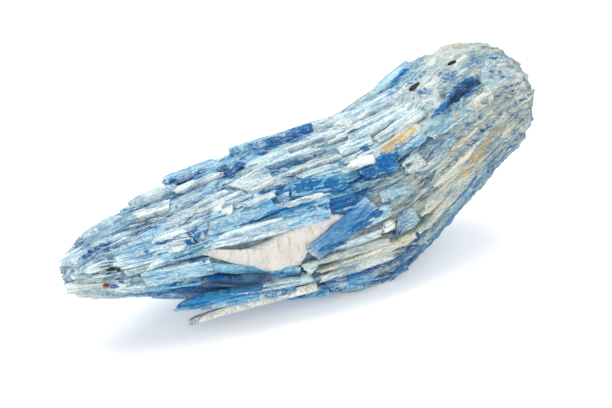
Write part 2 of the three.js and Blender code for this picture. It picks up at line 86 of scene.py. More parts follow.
# The blades that show: tip x, tip turn, root x, root turn, width, thickness, lift, roll, colour. Turns are degrees
# round X, 0 at the front and 90 on top. Lift is how far a blade's tip stands out of the outline, and its root
# stands out by no more than ROOT_LIFT.
BLADES = [
    # loose tips at the -X end
    (-55.6, 98, -43, 95, 4.5, 2.2, 0.4, 0, "ice"),
    (-52.5, 76, -41, 80, 3.6, 2, 0.9, 0, "ice"),
    (-54, 78, -50, 76, 3, 2.5, -0.3, 0, "slate"),
    (-52, 58, -41, 62, 2.6, 1.8, 0.6, 4, "sky"),
    (-53, 50, -47, 50, 1.6, 1.5, 0.5, 0, "ice"),
    (-50.5, 46, -36, 50, 3.2, 1.8, 0.6, 0, "sky"),
    (-52, 37, -43, 40, 1.1, 1.2, 0.8, 0, "frost"),
    (-53.5, 24, -45, 26, 2.4, 2.2, 0.2, 0, "ash"),
    (-47, 36, -37.5, 36, 2.6, 1.6, 0.5, 0, "ice"),
    (-55, -8, -44, -6, 3.2, 3, 0.4, 0, "ash"),
    (-53.5, 8, -43, 9, 3, 2.2, 0.5, -3, "ash"),
    (-55, -28, -43, -26, 2.6, 2.4, 0.3, 0, "ash"),
    (-48, -20, -38, -18, 2.4, 1.8, 0.3, 0, "ice"),
    (-45, 17, -36.5, 19, 2, 1.4, 0.5, 0, "slate"),
    (-43.5, 2, -27, 2, 4, 1.8, 1.4, 5, "sky"),
    (-41.5, 23, -36, 24, 1.3, 1.2, 0.9, 0, "frost"),
    (-40.5, 38, -33.5, 39, 4.6, 1.8, 0.5, 0, "blue"),
    (-38.5, 53, -31, 51, 1.8, 1.4, 0.8, 0, "frost"),
    (-37, 25, -26.3, 27.5, 2.2, 1.6, 1.5, 10, "teal"),
    (-33.5, 12, -9, -15.5, 2.4, 1.6, 1.2, 0, "blue"),
    (-41.5, 68, -33, 66, 3, 1.5, 0.4, 0, "sky"),
    (-38.4, 92, -30, 88, 2.4, 1.6, 1.7, 0, "frost"),
    (-38, 118, -27, 112, 3.6, 1.8, 1.9, 0, "ice"),
    (-49.5, 121, -39, 118, 3.4, 1.8, 0.8, 0, "ice"),
    (-46, -12, -31, -14, 2.6, 1.8, 0.5, 0, "slate"),
    (-42, -14, -27, -14, 1.6, 1.6, 0.6, 0, "blue"),
    (-36, 38, -31, 37, 2.8, 1.6, 0.7, 0, "frost"),
    (-31.8, 41, -28.2, 39.5, 3, 1.5, 0.4, 0, "night_and_shadow"),
    (-31.2, 46, -27, 46, 1.6, 1.4, 0.3, 0, "cobalt"),
    # the fan of loose blades low in front
    # painted shadow: this night blade fills the shaded gap between the sky blade and the fan
    (-31, -15, -16.5, -17, 3.2, 1.6, 1.3, 0, "night_and_shadow"),
    (-37.3, -41, -17, -26, 3, 1.8, 3, 8, "cobalt"),
    (-36, -47, -18, -32, 1.8, 1.2, 3.2, -6, "blue"),
    (-36.5, -52, -22, -32, 1.2, 1, 3.4, 0, "frost"),
    (-30, -36, -6, -23, 2, 1.4, 1.6, 0, "ice"),
    (-33.5, -60, -4, -34, 3, 2, 7.2, 6, "cream"),
    (-31, -50, -10, -34, 1.8, 1.6, 3.8, 0, "sky"),
    # the fringe along the top of the middle
    (-31.6, 119, -16, 113, 4.2, 1.8, 3.1, 0, "sky"),
    (-31, 104, -17, 98, 2.6, 1.4, 1.6, 0, "frost"),
    (-25.5, 108, -12, 104, 2.6, 1.5, 0.9, 0, "blue"),
    (-22, 120, -8, 116, 3, 1.6, 0.5, 0, "ice"),
    (-14.8, 119, 5, 114, 4, 2, 1.5, -8, "sky"),
    (-31, 88, -19, 86, 4.4, 1.8, 0.6, 0, "sky"),
    (-22.5, 80, -18.5, 79, 2.4, 1.6, 0.8, 0, "teal"),
    (-33, 76, -20, 72, 1.6, 1.4, 0.8, 0, "frost"),
    (-31, 64, -21, 62, 3.2, 1.5, 0.4, 0, "ice"),
    (-30, 56, -22, 55, 2, 1.4, 0.5, 0, "sky"),
    (-19.8, 69, -10.5, 70, 5, 2.2, 1, 0, "glass"),
    (-17, 88, -4, 90, 3.2, 1.6, 0.5, 0, "ice"),
    (-19, 97, -8, 97, 2.6, 1.6, 0.4, 0, "blue"),
    (-9, 104, 5, 108, 2.6, 1.6, 0.3, 0, "cobalt"),
    (-12, 80, 2, 80, 3, 1.6, 0.7, 0, "ice"),
    (-6, 93, 9, 92, 3.2, 1.6, 0.7, 0, "ice"),
    # round the upper edge of the quartz
    (-23.5, 54, -20.8, 54, 2.8, 1.6, 0.8, 0, "frost"),
    (-19.5, 56, -15.5, 56, 1.6, 1.4, 0.5, 0, "blue"),
    (-20, 50.5, -12.5, 51.5, 1.2, 1.2, 1, 0, "frost"),
    (-20.5, 44, -13.3, 44, 2.8, 1.6, 1.2, 0, "blue"),
    (-13.5, 46.5, -9.8, 47, 1.8, 1.4, 1, 0, "ash"),
    (-19, 39, -5, 39, 1.2, 1.4, 0.9, 0, "cobalt"),
    (-29.5, 38.5, -2, 32.5, 5.6, 2, 1.5, 0, "sky"),
    (-29, 28, -12, 27, 3.2, 2, 1.8, 4, "ice"),
    (-11.5, 40, -3.5, 41.5, 1.2, 1.2, 1.1, 0, "frost"),
    (-10.5, 50, 1.5, 47.5, 3.6, 1.6, 0.8, 0, "blue"),
    (-8.5, 57, 3, 58, 2.2, 1.4, 0.6, 0, "ice"),
    (-9, 66, 4, 67, 2.8, 1.5, 0.5, 0, "ash"),
    # right of the quartz
    (-5.5, 33, 7.6, 33.5, 2.6, 1.6, 0.4, 0, "navy"),
    (-4, 27, 3.5, 27.5, 1, 1.2, 0.5, 0, "steel"),
    (-8.3, -2, 7.4, 25, 5.2, 2, 1.4, 6, "cobalt"),
    (2, 12, 10.5, 19, 3, 1.6, 0.8, 0, "sky"),
    (5.3, 45.5, 9, 45.5, 2.4, 1.5, 0.9, 0, "navy"),
    (2.3, 55.5, 9.8, 53.5, 2.4, 1.4, 1.4, 0, "frost"),
    (8, 48, 14.8, 47, 4.6, 1.8, 1, 0, "cobalt"),
    (7.8, 27.5, 14.8, 27, 3.2, 1.8, 0.4, 0, "steel"),
    (14.4, 39, 20, 37, 4.2, 2, 1, 0, "ash"),
    (10, 3, 17.6, 6, 4.6, 2, 1, 0, "steel"),
    (7.3, 5, 11.2, 9, 2.4, 1.6, 0.9, 0, "cream"),
    (-6.5, -2, 9, 5, 1.8, 1.4, 0.9, 0, "ice"),
    (6, 61, 10.2, 62.5, 2.2, 1.4, 0.6, 0, "ash"),
    (2, 38, 8, 39, 1.2, 1.2, 0.7, 0, "slate"),
    # under the quartz and the lower front
    (-10.3, -14, -6, -12.5, 3, 1.6, 0.9, 0, "ice"),
    (-7, -8.5, 10, -3, 1.8, 1.4, 1, 0, "ash"),
    (-7.5, -18.5, 13, -8, 2.2, 1.6, 1.3, 0, "cream"),
    (-8, -25, 12, -14, 2, 1.6, 1.4, 0, "glass"),
    (8, -11, 17, -9, 2.2, 1.6, 0.9, 0, "cream"),
    (-20, -20, -10, -16, 2.8, 1.4, 0.1, 0, "slate"),
    (-8, -32, 6, -26, 2.4, 1.8, 0.4, 0, "navy"),
    (-3, -36, 9, -33, 3, 2.2, 0.8, 0, "blue"),
    (-6, -48, 8, -45, 3.6, 2.5, 0.8, 0, "slate"),
    (3, -32, 19, -25, 2.4, 2, 0.5, 0, "navy"),
    (4, -46, 17, -38, 3.6, 2.5, 0.8, 0, "steel"),
    (2, -60, 15, -53, 4, 2.5, 0.6, 0, "ash"),
    (-14, -48, -2, -48, 3, 2.2, 0.8, 0, "blue"),
    # the shoulder where the mass turns upwards
    (10.8, 56.5, 21.5, 57, 2.8, 1.6, 0.8, 0, "ash"),
    (14.5, 50.5, 22, 49.5, 2.6, 1.6, 0.7, 0, "sky"),
    (11, 66, 24, 64, 3, 1.6, 0.7, 0, "glass"),
    (3, 69, 12, 69, 2.6, 1.5, 0.7, 0, "ice"),
    (6, 77, 22, 74, 3.4, 1.7, 0.8, 0, "ice"),
    (3, 86, 20, 84, 3, 1.7, 0.6, 0, "glass"),
    (8, 98, 24, 96, 3.6, 1.8, 0.6, 0, "ice"),
    (4, 108, 22, 106, 3.6, 2, 0.6, 0, "ice"),
    (22, 48, 32, 46, 4.2, 1.8, 0.3, 0, "slate"),
    (20.8, 37, 27.5, 36, 3.6, 1.6, 0.4, 0, "steel"),
    (16, 28, 26, 26, 2.2, 1.6, 0.5, 0, "ash"),
    # the raised lobe
    (19.5, 122, 31, 121, 4.5, 3, 1, 0, "sky"),
    (21.5, 103, 30, 115, 2.2, 2, 0.9, 0, "cobalt"),
    (20, 95, 34, 97, 3.8, 2.2, 0.8, 0, "glass"),
    (26, 86, 40, 90, 3.2, 2.2, 0.8, 0, "glass"),
    (25, 76, 37, 77, 3.4, 2, 0.8, 0, "glass"),
    (25.5, 63, 30.5, 64, 2.2, 1.8, 0.6, 0, "ash"),
    (31, 104, 46, 104, 4.4, 2.6, 0.6, 0, "cream"),
    (34, 116, 47, 116, 4, 2.6, 0.5, 0, "cream"),
    # painted shadow: the two night blades are the floor of the shaded hollow
    (29, 58, 37, 57, 4.5, 1.8, 0.2, 0, "night_and_shadow"),
    (24.5, 55, 30, 55, 1.4, 1.2, 0.1, 0, "night_and_shadow"),
    (36, 53, 45, 57, 5.4, 3, 1.2, 0, "slate"),
    (40, 70, 47, 71, 3, 2.4, 0.6, 0, "blue"),
    (41, 86, 48, 86, 5, 3, 0.3, 0, "ash"),
    (31, 41, 38.5, 40, 2.6, 2, 0.5, 0, "cream"),
    # the blunt +X end and its flank
    (38, 40, 48, 40, 4.4, 3, 0.4, 0, "moss"),
    (36, 28, 48.5, 27, 4.4, 3, 0.5, 0, "moss"),
    (27, 34, 38, 32, 3.2, 2.2, 0.6, 0, "moss"),
    (20, 22, 34, 20, 3.2, 2, 0.8, 0, "moss"),
    (20, 12, 36, 12, 3, 2, 0.9, 0, "cream"),
    (28, 3, 44, 10, 3, 2, 0.9, 0, "cream"),
    (17, 2, 31, 1, 2.8, 2, 0.8, 0, "moss"),
    (33, -6, 46, 0, 3, 2.4, 0.2, 0, "slate"),
    (17, -12, 33, -9, 3.2, 2.2, 0.7, 0, "moss"),
    (19, -24, 37, -20, 3.4, 2.4, 0.6, 0, "slate"),
    (33, -20, 49, -15, 3.6, 2.4, 0.6, 0, "slate"),
    (40, 12, 49.5, 10, 4.4, 3, 0.4, 0, "moss"),
    (42, -6, 50, -5, 4, 3, 0.4, 0, "moss"),
    (20, -38, 36, -34, 4, 2.4, -0.1, 0, "slate"),
    (36, -36, 48.5, -32, 4, 2.4, 0.1, 0, "moss"),
]

# Colours of whole blades, as sRGB hex: the face's own colour and the colour of its deeper streaks.
BLADE_COLOURS = {
    "frost": ("#edf2f3", "#a3c8da"),
    "ice": ("#d6e4e9", "#66a3c6"),
    "glass": ("#d8dfde", "#7ba5b6"),
    "ash": ("#c5cccc", "#7e99a2"),
    "moss": ("#c9cbc2", "#788d8a"),
    "cream": ("#e5decd", "#a3a89c"),
    "sky": ("#a9cfe0", "#3388bb"),
    "slate": ("#98b7c1", "#3f6d84"),
    "steel": ("#84b2c8", "#226c98"),
    "blue": ("#72b6d6", "#1278ac"),
    "teal": ("#62a0b0", "#126580"),
    "cobalt": ("#1482c0", "#015499"),
    "navy": ("#0f6399", "#01376c"),
    # night is the darkest blue, and painted shadow where it fills the gap above the fan and the floor of the hollow
    # on the raised lobe
    "night_and_shadow": ("#032253", "#010b27"),
}

# The general colour of each part of the mass, for the fine blades: x, turn, half length, half turn, colour.
COLOUR_ZONES = [
    (-46, 40, 14, 60, "ice"), (-30, 60, 12, 25, "ice"), (-30, -34, 14, 12, "cobalt"),
    # the night zone at x -24 is painted shadow in the gap above the fan
    (-24, -16, 8, 7, "night_and_shadow"), (-16, 112, 9, 12, "blue"), (-40, 112, 12, 18, "sky"),
    (-8, 80, 18, 16, "ice"), (-4, 47, 16, 10, "blue"), (-10, -25, 14, 14, "slate"),
    # the cobalt zone low on the belly at x 2 is the kyanite's deep blue, darkened further as painted shade under
    # the overhang
    (6, -16, 12, 12, "cream"), (2, -55, 20, 20, "cobalt"), (10, 84, 14, 18, "glass"),
    (14, 30, 8, 12, "ash"), (24, 106, 6, 12, "blue"), (30, 88, 12, 20, "glass"),
    (38, 66, 8, 10, "slate"), (42.5, 72, 5, 9, "blue"), (49, 55, 4, 9, "sky"),
    (30, 45, 10, 12, "slate"), (30, 8, 14, 18, "moss"), (46, 50, 10, 50, "moss"),
    (42, -25, 12, 20, "slate"), (-30, 180, 20, 45, "sky"), (0, 170, 20, 40, "ice"),
    (30, 180, 18, 50, "ash"), (0, 250, 30, 40, "steel"),
]

# Mica flakes: x, turn, length, width.
MICA_FLAKES = [
    (24.4, 85.5, 2.2, 0.95), (34.2, 85, 1.8, 0.85), (-47.0, 29, 0.9, 0.6),
    (-46.0, 26, 0.8, 0.5), (-5.3, -27, 0.8, 0.5), (-15.1, 89, 0.8, 0.4),
]

# Marks on the blades, by kind: x, turn, half length, half turn, strength. deep is the deepest blue, and painted
# shade in the hollow on the raised lobe; white is crumbled, rust is iron stain, and dark is the real dark mica plus
# painted shade in the seams, the hollows and the gap under the quartz.
MARKS = {
    "deep": (
        (-48.7, 71, 2.2, 8, 1), (-45.8, 78, 1.3, 6, 0.9), (-44, 62, 2, 3, 0.7), (-36.5, 70, 2, 5, 0.8),
        (-36.3, 86, 1.6, 2.5, 0.9), (-35.5, 47.5, 3.2, 2, 0.95), (-38.5, 41, 2, 6, 0.6),
        (-30, 48, 1.6, 3.5, 0.95), (-30.5, 39, 1.8, 5, 1), (-34, 27, 2.4, 1.8, 0.9), (-37.3, 18, 1.4, 1.4, 0.9),
        (-31.5, 17, 2.4, 2, 1), (-28.5, 13, 3, 2, 0.9), (-46.6, -7, 1.1, 5, 0.9), (-45, 3, 0.8, 5, 0.7),
        (-35, -16, 6, 3, 0.7), (-29, -10, 4, 2.5, 0.8), (-15, -14.5, 2.5, 3, 0.9), (-30, -26, 6, 4, 0.9),
        (-33, -34, 4, 5, 0.7), (-27.5, 114, 2, 4, 0.7), (-22, 107, 2.4, 3, 0.8), (-17.5, 99, 1.8, 2.5, 0.8),
        (-15.5, 93, 2.8, 5, 1), (-8.5, 99.5, 2, 2.5, 1), (-4.5, 106, 3, 4, 1), (1.8, 110, 3.6, 4.5, 1),
        (-20.8, 79, 1.2, 4, 0.5), (-26.5, 53, 1.2, 3, 0.7), (-17.5, 56.5, 1.8, 2.5, 0.7),
        (-13, 56, 3, 1.4, 0.8), (-14.5, 38.5, 8, 1.6, 1), (-4, 35, 4, 1.4, 0.8), (-6, 50, 3.5, 5, 1),
        (-1.5, 47, 2.5, 4, 1), (2, 42.5, 3, 3, 0.8), (7, 46, 2, 5, 1), (12, 47.5, 2.8, 6, 1),
        (9.2, 63, 1.2, 4, 0.9), (7.5, 62, 1.6, 2, 0.7), (5, 36, 2.6, 2.2, 1), (0, 32, 4, 3, 0.8),
        (0, 27, 3.5, 1.2, 0.9), (6.8, 20, 1.8, 3, 1), (3, 14, 3, 4, 0.9), (-3, 3.5, 4, 3, 0.8),
        (10, 22, 0.8, 1.6, 0.9), (12, 1, 1.8, 3, 0.8), (6, -25, 9, 2.5, 1), (15, -22, 5, 3, 0.9),
        (18, -17, 2, 4, 0.9), (9, -38, 6, 6, 0.6), (-4, -40, 6, 5, 0.6), (26, 111, 3.6, 2.5, 1),
        (23, 105, 1, 3, 0.8), (22.5, 97, 2.6, 4, 0.7), (28, 93, 3.4, 3, 0.62), (31, 73, 3.6, 4, 0.62),
        (26, 78, 2.4, 3, 0.6), (37, 76, 2.6, 4, 0.55), (40.5, 60, 2, 3, 0.6), (38, 92, 3, 4, 0.5),
        (33, 57, 4, 6, 0.9), (27, 54.5, 3, 2, 1), (41, 52, 2, 6, 0.5), (43.5, 69, 1.8, 4, 0.7),
        (32, -16, 2, 2, 0.7), (40, -4, 3, 3, 0.5), (14, -35, 6, 6, 0.8),
    ),
    "white": (
        (-48, 38, 4, 1.8, 0.8), (-34, 38, 1.9, 6, 1), (-22.2, 54, 1.6, 4.5, 1), (-26, 64, 4, 6, 0.5),
        (-34.5, 54, 3, 3, 0.6), (-36.5, 91, 1.6, 4, 0.8), (-29, 11, 1, 2.5, 0.9), (-31, 100, 2.5, 3, 0.8),
        (-19.5, 97, 2, 2, 0.7), (-10, 40, 2.2, 2, 1), (-6, 42, 3, 1.5, 0.7), (6, 54.5, 4, 3.5, 1),
        (17.5, 38, 2.4, 7, 0.45), (9, 8, 1.6, 5, 0.8), (4.5, 4, 4, 3, 0.5), (22, 68, 6, 10, 0.4),
        (-16, 50.8, 3.5, 1.5, 0.8), (0, -36, 2, 3, 0.6), (10, -47, 5, 5, 0.5), (-22, -28.5, 5, 2.5, 0.5),
        (24, 92, 4, 6, 0.4), (35, 45, 3, 4, 0.5),
    ),
    "rust": (
        (-18.5, 20.8, 0.8, 1.6, 0.9), (-22.3, 18.6, 0.6, 1.2, 0.8), (-10.6, -7.5, 0.7, 1.2, 0.6),
        (13, 56, 1.8, 3.51, 1), (16, 56.5, 2.6, 2.7, 1), (19, 57.5, 2, 3.51, 1), (23.5, 54, 2.5, 1.62, 0.5),
        (7.2, 35.8, 1.2, 1.89, 1), (28.8, 43.5, 0.5, 2.025, 1), (37.7, 64, 0.7, 1.89, 1),
        (28, 25, 2.6, 2.16, 0.75), (30, 0, 2.2, 3.375, 1), (33, 5, 2.4, 4.32, 1), (37, 9, 3, 4.86, 0.75),
        (31, -5, 0.8, 2.7, 0.625), (13.7, -7.5, 2.2, 2.97, 0.625), (18.5, 17, 1.8, 3.375, 0.375),
        (21.5, 18, 1, 4.05, 0.5), (40, 114, 7, 10.8, 0.4375), (8.5, -30, 0.6, 1.35, 0.75),
        (-3, -9, 1.6, 1.62, 0.625),
    ),
    "dark": (
        (-21, -17, 4, 3, 0.7), (-46.6, 29, 1.3, 6, 1), (-43.5, 35, 1, 4, 0.4), (-44, 22.5, 0.9, 1, 0.8),
        (-33, 83, 4, 1.2, 0.35), (-28, 77, 3, 1, 0.3), (-20.6, 57.5, 0.4, 1.6, 0.5), (-14.8, 89, 1.3, 2, 0.8),
        (-9.5, 72, 1.2, 2, 0.5), (-5, 63.5, 1.4, 2, 0.6), (-25, -15.5, 4, 2.6, 0.85), (-11, -17, 4, 1.8, 0.85),
        (-15.5, -16.5, 2.4, 1.2, 0.9), (-22, -26, 5, 2.5, 0.5), (-17, -24.5, 4, 2.5, 0.5),
        (6.3, -22, 1.6, 2.2, 1), (-5, -32.5, 1, 1.6, 1), (10, 84, 1.5, 2, 0.9), (7, 35.5, 0.5, 1, 1),
        (13, 33, 5, 2, 0.45), (17, 32, 2, 2, 0.5), (20.2, 12, 1.6, 1.6, 0.9), (21, 8, 1, 2, 0.5),
        (16, 39.5, 0.8, 1.6, 0.6), (25.3, 85.5, 1.3, 1.6, 1), (35, 85, 1, 1.4, 0.9), (29.5, 98, 1, 1.6, 0.7),
        (31, 80, 0.8, 1.2, 0.7), (22, 104, 1.2, 1.2, 0.6), (37, 97, 1.2, 1.6, 0.5), (36.3, 55, 0.6, 5, 0.7),
        (18.8, -34, 3, 4, 0.6), (22.9, -21, 2.5, 3, 0.7), (7, -50, 4, 4, 0.5), (9, -31, 7, 4, 0.5),
        (31.5, 54, 3, 2.5, 0.8), (33.5, 56.5, 3.4, 4, 0.75), (28.5, 64, 1.5, 5, 0.45), (36.5, -5, 4, 2.5, 0.7),
        (29.5, 47, 0.5, 1, 0.6),
    ),
}

# The quartz lens's edge on the outline: x and turn of each corner.
QUARTZ_EDGE = np.array([
    (-31, 25), (-27.5, 23), (-24.5, 20), (-20.5, 18), (-16, 20), (-11, 24), (-5.5, 28), (-3, 28),
    (0, 25), (-3.8, 16), (-7.9, 4), (-9.7, -10), (-14, -13.5), (-18.6, -7), (-22.2, 1), (-27.8, 12.5),
])

# Each light's name, its place and size in metres, and its power in watts. The camera's angles are degrees.
LIGHTS = (
    ("soft_top", (-0.05, 0.2, 0.8), 0.8, 7.05),
    ("soft_front", (-0.5, -0.6, 0.45), 0.6, 3.1),
    ("soft_right", (0.6, -0.2, 0.5), 0.5, 0.8),
)
LIGHTS_AIM = (0, 0, 0.015)
CAMERA_AZIMUTH, CAMERA_ELEVATION, CAMERA_DISTANCE, CAMERA_AIM = -30, 28, 345, (0, 0, 17)

# ---------------------------------------------------------------------------------------------- the outline


def section(x):
    """Centre and half sizes of the outline's section at x, by straight lines between the given sections."""
    low, high, front, back = (np.interp(x, SECTIONS[:, 0], SECTIONS[:, k]) for k in (1, 2, 3, 4))
    return (front + back) / 2, (low + high) / 2, (back - front) / 2, (high - low) / 2


def on_outline(x, turn, lift=0.0):
    """A point of the outline: the section's centre, plus its half sizes stood out by lift, times a rounded square's
    radius at that turn, which is (|cos|^n + |sin|^n)^(-1/n)."""
    x, turn, lift = np.broadcast_arrays(np.asarray(x, float), turn, lift)
    y, z, half_y, half_z = section(x)
    c, s = np.cos(np.radians(turn)), np.sin(np.radians(turn))
    reach = (np.abs(c) ** SQUARENESS + np.abs(s) ** SQUARENESS) ** (-1 / SQUARENESS)
    return np.stack([x, y - (half_y + lift) * reach * c, z + (half_z + lift) * reach * s], -1)


def unit(v):
    return v / np.maximum(np.linalg.norm(v, axis=-1, keepdims=True), 1e-12)


def outward_at(x, turn):
    """The outline's outward direction: the cross product of its steps along X and round the turn."""
    along = on_outline(x + 1, turn) - on_outline(x - 1, turn)
    round_ = on_outline(x, turn + 2) - on_outline(x, turn - 2)
    return unit(np.cross(along, round_))


def turn_of(points):
    """The turn of any points round X: the angle of their offsets from the section's centre, each offset divided by
    the section's half size."""
    y, z, half_y, half_z = section(points[..., 0])
    return np.degrees(np.arctan2((points[..., 2] - z) / half_z, -(points[..., 1] - y) / half_y))


def gap_shade_at(points):
    """Painted shade for the gaps: how deep in a gap each point lies, 0 to 1, from how far it is under the outline:
    the rounded square that it lies on gives a radius, and that less 1, times the section's smaller half size, is
    its height. The two ends are open, so it fades there."""
    y, z, half_y, half_z = section(points[..., 0])
    dy, dz = np.abs(points[..., 1] - y) / half_y, np.abs(points[..., 2] - z) / half_z
    radius = (dy ** SQUARENESS + dz ** SQUARENESS) ** (1 / SQUARENESS)
    height = (radius - 1) * np.minimum(half_y, half_z)
    return np.clip((0.1 - height) / 1.3, 0, 1) * np.clip((BLUNT_END - np.abs(points[..., 0])) / 5, 0.3, 1)


def crumbled_at(x, turn):
    """How far the blades have crumbled to grains at each place, 0 to 1: all the way on top of the raised lobe."""
    turn = np.mod(turn + 90, 360) - 90
    return np.clip((x - 18) / 8, 0, 1) * np.clip((turn - 38) / 14, 0, 1)


def in_hollow(x, turn):
    """Which places lie in the dark hollow on the side of the raised lobe."""
    return ((x - 33) / 5) ** 2 + ((turn - 57) / 10) ** 2 < 1


def in_quartz(x, turn):
    """Which places lie within the quartz's edge: those where a line drawn towards +turn crosses it an odd number of
    times."""
    inside = np.zeros(np.shape(x), bool)
    for (x0, t0), (x1, t1) in zip(QUARTZ_EDGE, np.roll(QUARTZ_EDGE, -1, axis=0)):
        crosses = (x0 > x) != (x1 > x)
        inside ^= crosses & (turn < t0 + (t1 - t0) * (x - x0) / (x1 - x0 + 1e-9))
    return inside


# ---------------------------------------------------------------------------------------------- colour helpers


def linear(colour_hex):
    """sRGB hex to linear RGB."""
    values = [int(colour_hex[i:i + 2], 16) / 255 for i in (1, 3, 5)]
    return tuple(v / 12.92 if v <= 0.04045 else ((v + 0.055) / 1.055) ** 2.4 for v in values)


def ripple(points, scale, seed, waves=14):
    """Smooth noise from -1 to 1: the mean of sine waves in random directions, stretched by scale per axis."""
    rng = np.random.default_rng(seed)
    directions = rng.normal(size=(waves, 3)) * np.asarray(scale)
    phases = rng.uniform(0, 2 * math.pi, waves)
    return np.sin(points @ directions.T + phases).mean(-1) * 1.8


def marks_at(points):
    """How strongly each kind of mark lies on each point, as four numbers from 0 to 1: 1 inside the mark's oval on
    the outline, falling to 0 at its soft edge, which waves in and out."""
    out = np.zeros(points.shape[:-1] + (4,))
    turns = turn_of(points)
    wave = 0.35 * ripple(points, (0.5, 1.6, 1.6), 7)
    for k, rows in enumerate(MARKS.values()):
        for x, turn, half_x, half_turn, strength in rows:
            near = np.abs(points[..., 0] - x) < 1.8 * half_x
            dx = (points[near, 0] - x) / half_x
            dt = (np.mod(turns[near] - turn + 180, 360) - 180) / half_turn
            reach = np.sqrt(dx * dx + dt * dt) + wave[near]
            out[near, k] = np.maximum(out[near, k], strength * np.clip((1.35 - reach) / 0.7, 0, 1))
    return out


def zone_colours(points):
    """The face and streak colours of the fine blades at each point: the zones' colours, each weighted by a bell
    round the middle of its zone."""
    turns = turn_of(points)
    face, streak, total = 0, 0, 1e-9
    for x, turn, half_x, half_turn, name in COLOUR_ZONES:
        dx = (points[..., 0] - x) / half_x
        dt = (np.mod(turns - turn + 180, 360) - 180) / half_turn
        weight = np.exp(-(dx * dx + dt * dt))[..., None]
        face = face + weight * np.array(linear(BLADE_COLOURS[name][0]))
        streak = streak + weight * np.array(linear(BLADE_COLOURS[name][1]))
        total = total + weight
    # patches and bands that run on from one blade to the next, some paler and some bluer
    band = (ripple(points, (0.16, 0.7, 0.7), 51, 24) + 0.7 * ripple(points, (0.4, 1.9, 1.9), 53, 24))[..., None]
    pale, blue = np.clip(0.9 * band - 0.1, 0, 0.75), np.clip(-0.8 * band - 0.1, 0, 0.6)
    face, streak = face / total, streak / total
    frost = np.array(linear(BLADE_COLOURS["frost"][0]))
    return face + (frost - face) * pale + (streak - face) * blue, streak + (face - streak) * pale * 0.6


def valleys(x, turn):
    """How far the fine mass lies below the outline: long troughs between ridges, from 0 down to 1 mm."""
    place = np.stack([0.13 * x, 0.16 * turn, 0.02 * turn], -1)
    return -1.0 * np.clip(ripple(place, (1, 1, 1), 61, 18) + 0.1, 0, 1)


# ---------------------------------------------------------------------------------------------- laths

# A lath's cross-section, anticlockwise seen from its root: even steps across the face, the points down each side,
# and a plain underside. Sideways places are shares of the half width, heights are shares of the thickness. A lath
# that is repeated by the hundred has one point on each side and two below.


def lath_section(face_points):
    face = np.linspace(0.95, -0.95, face_points)
    if face_points > 10:
        under = np.linspace(-0.86, 0.86, face_points // 3)
        side_y, side_z, on_side = np.array([[-1.0, -1.0, -0.96], [-0.16, -0.5, -0.86], [0.5, 0, 0]])
    else:
        under = np.array([-0.86, 0.86])
        side_y, side_z, on_side = np.array([[-1.0], [-0.4], [0.3]])
    y = np.concatenate([face, side_y, under, -side_y[::-1]])
    z = np.concatenate([0 * face, side_z, 0 * under - 1, side_z[::-1]])
    on_face = np.concatenate([0 * face + 1, on_side, 0 * under, on_side[::-1]])
    return y, z, on_face


def lath_frames(tip_x, tip_turn, root_x, root_turn, tip_lift, root_lift, roll):
    """Where each lath lies: its tip point, and its three directions along, outward and across, with its length."""
    tip = on_outline(tip_x, tip_turn, tip_lift)
    along = on_outline(root_x, root_turn, root_lift) - tip
    length = np.linalg.norm(along, axis=-1)
    along = unit(along)
    outward = outward_at((tip_x + root_x) / 2, (tip_turn + root_turn) / 2)
    outward = unit(outward - (outward * along).sum(-1, keepdims=True) * along)
    side = np.cross(along, outward)
    r = np.radians(roll)[..., None]
    outward = outward * np.cos(r) + side * np.sin(r)
    return tip, along, outward, np.cross(outward, along), length


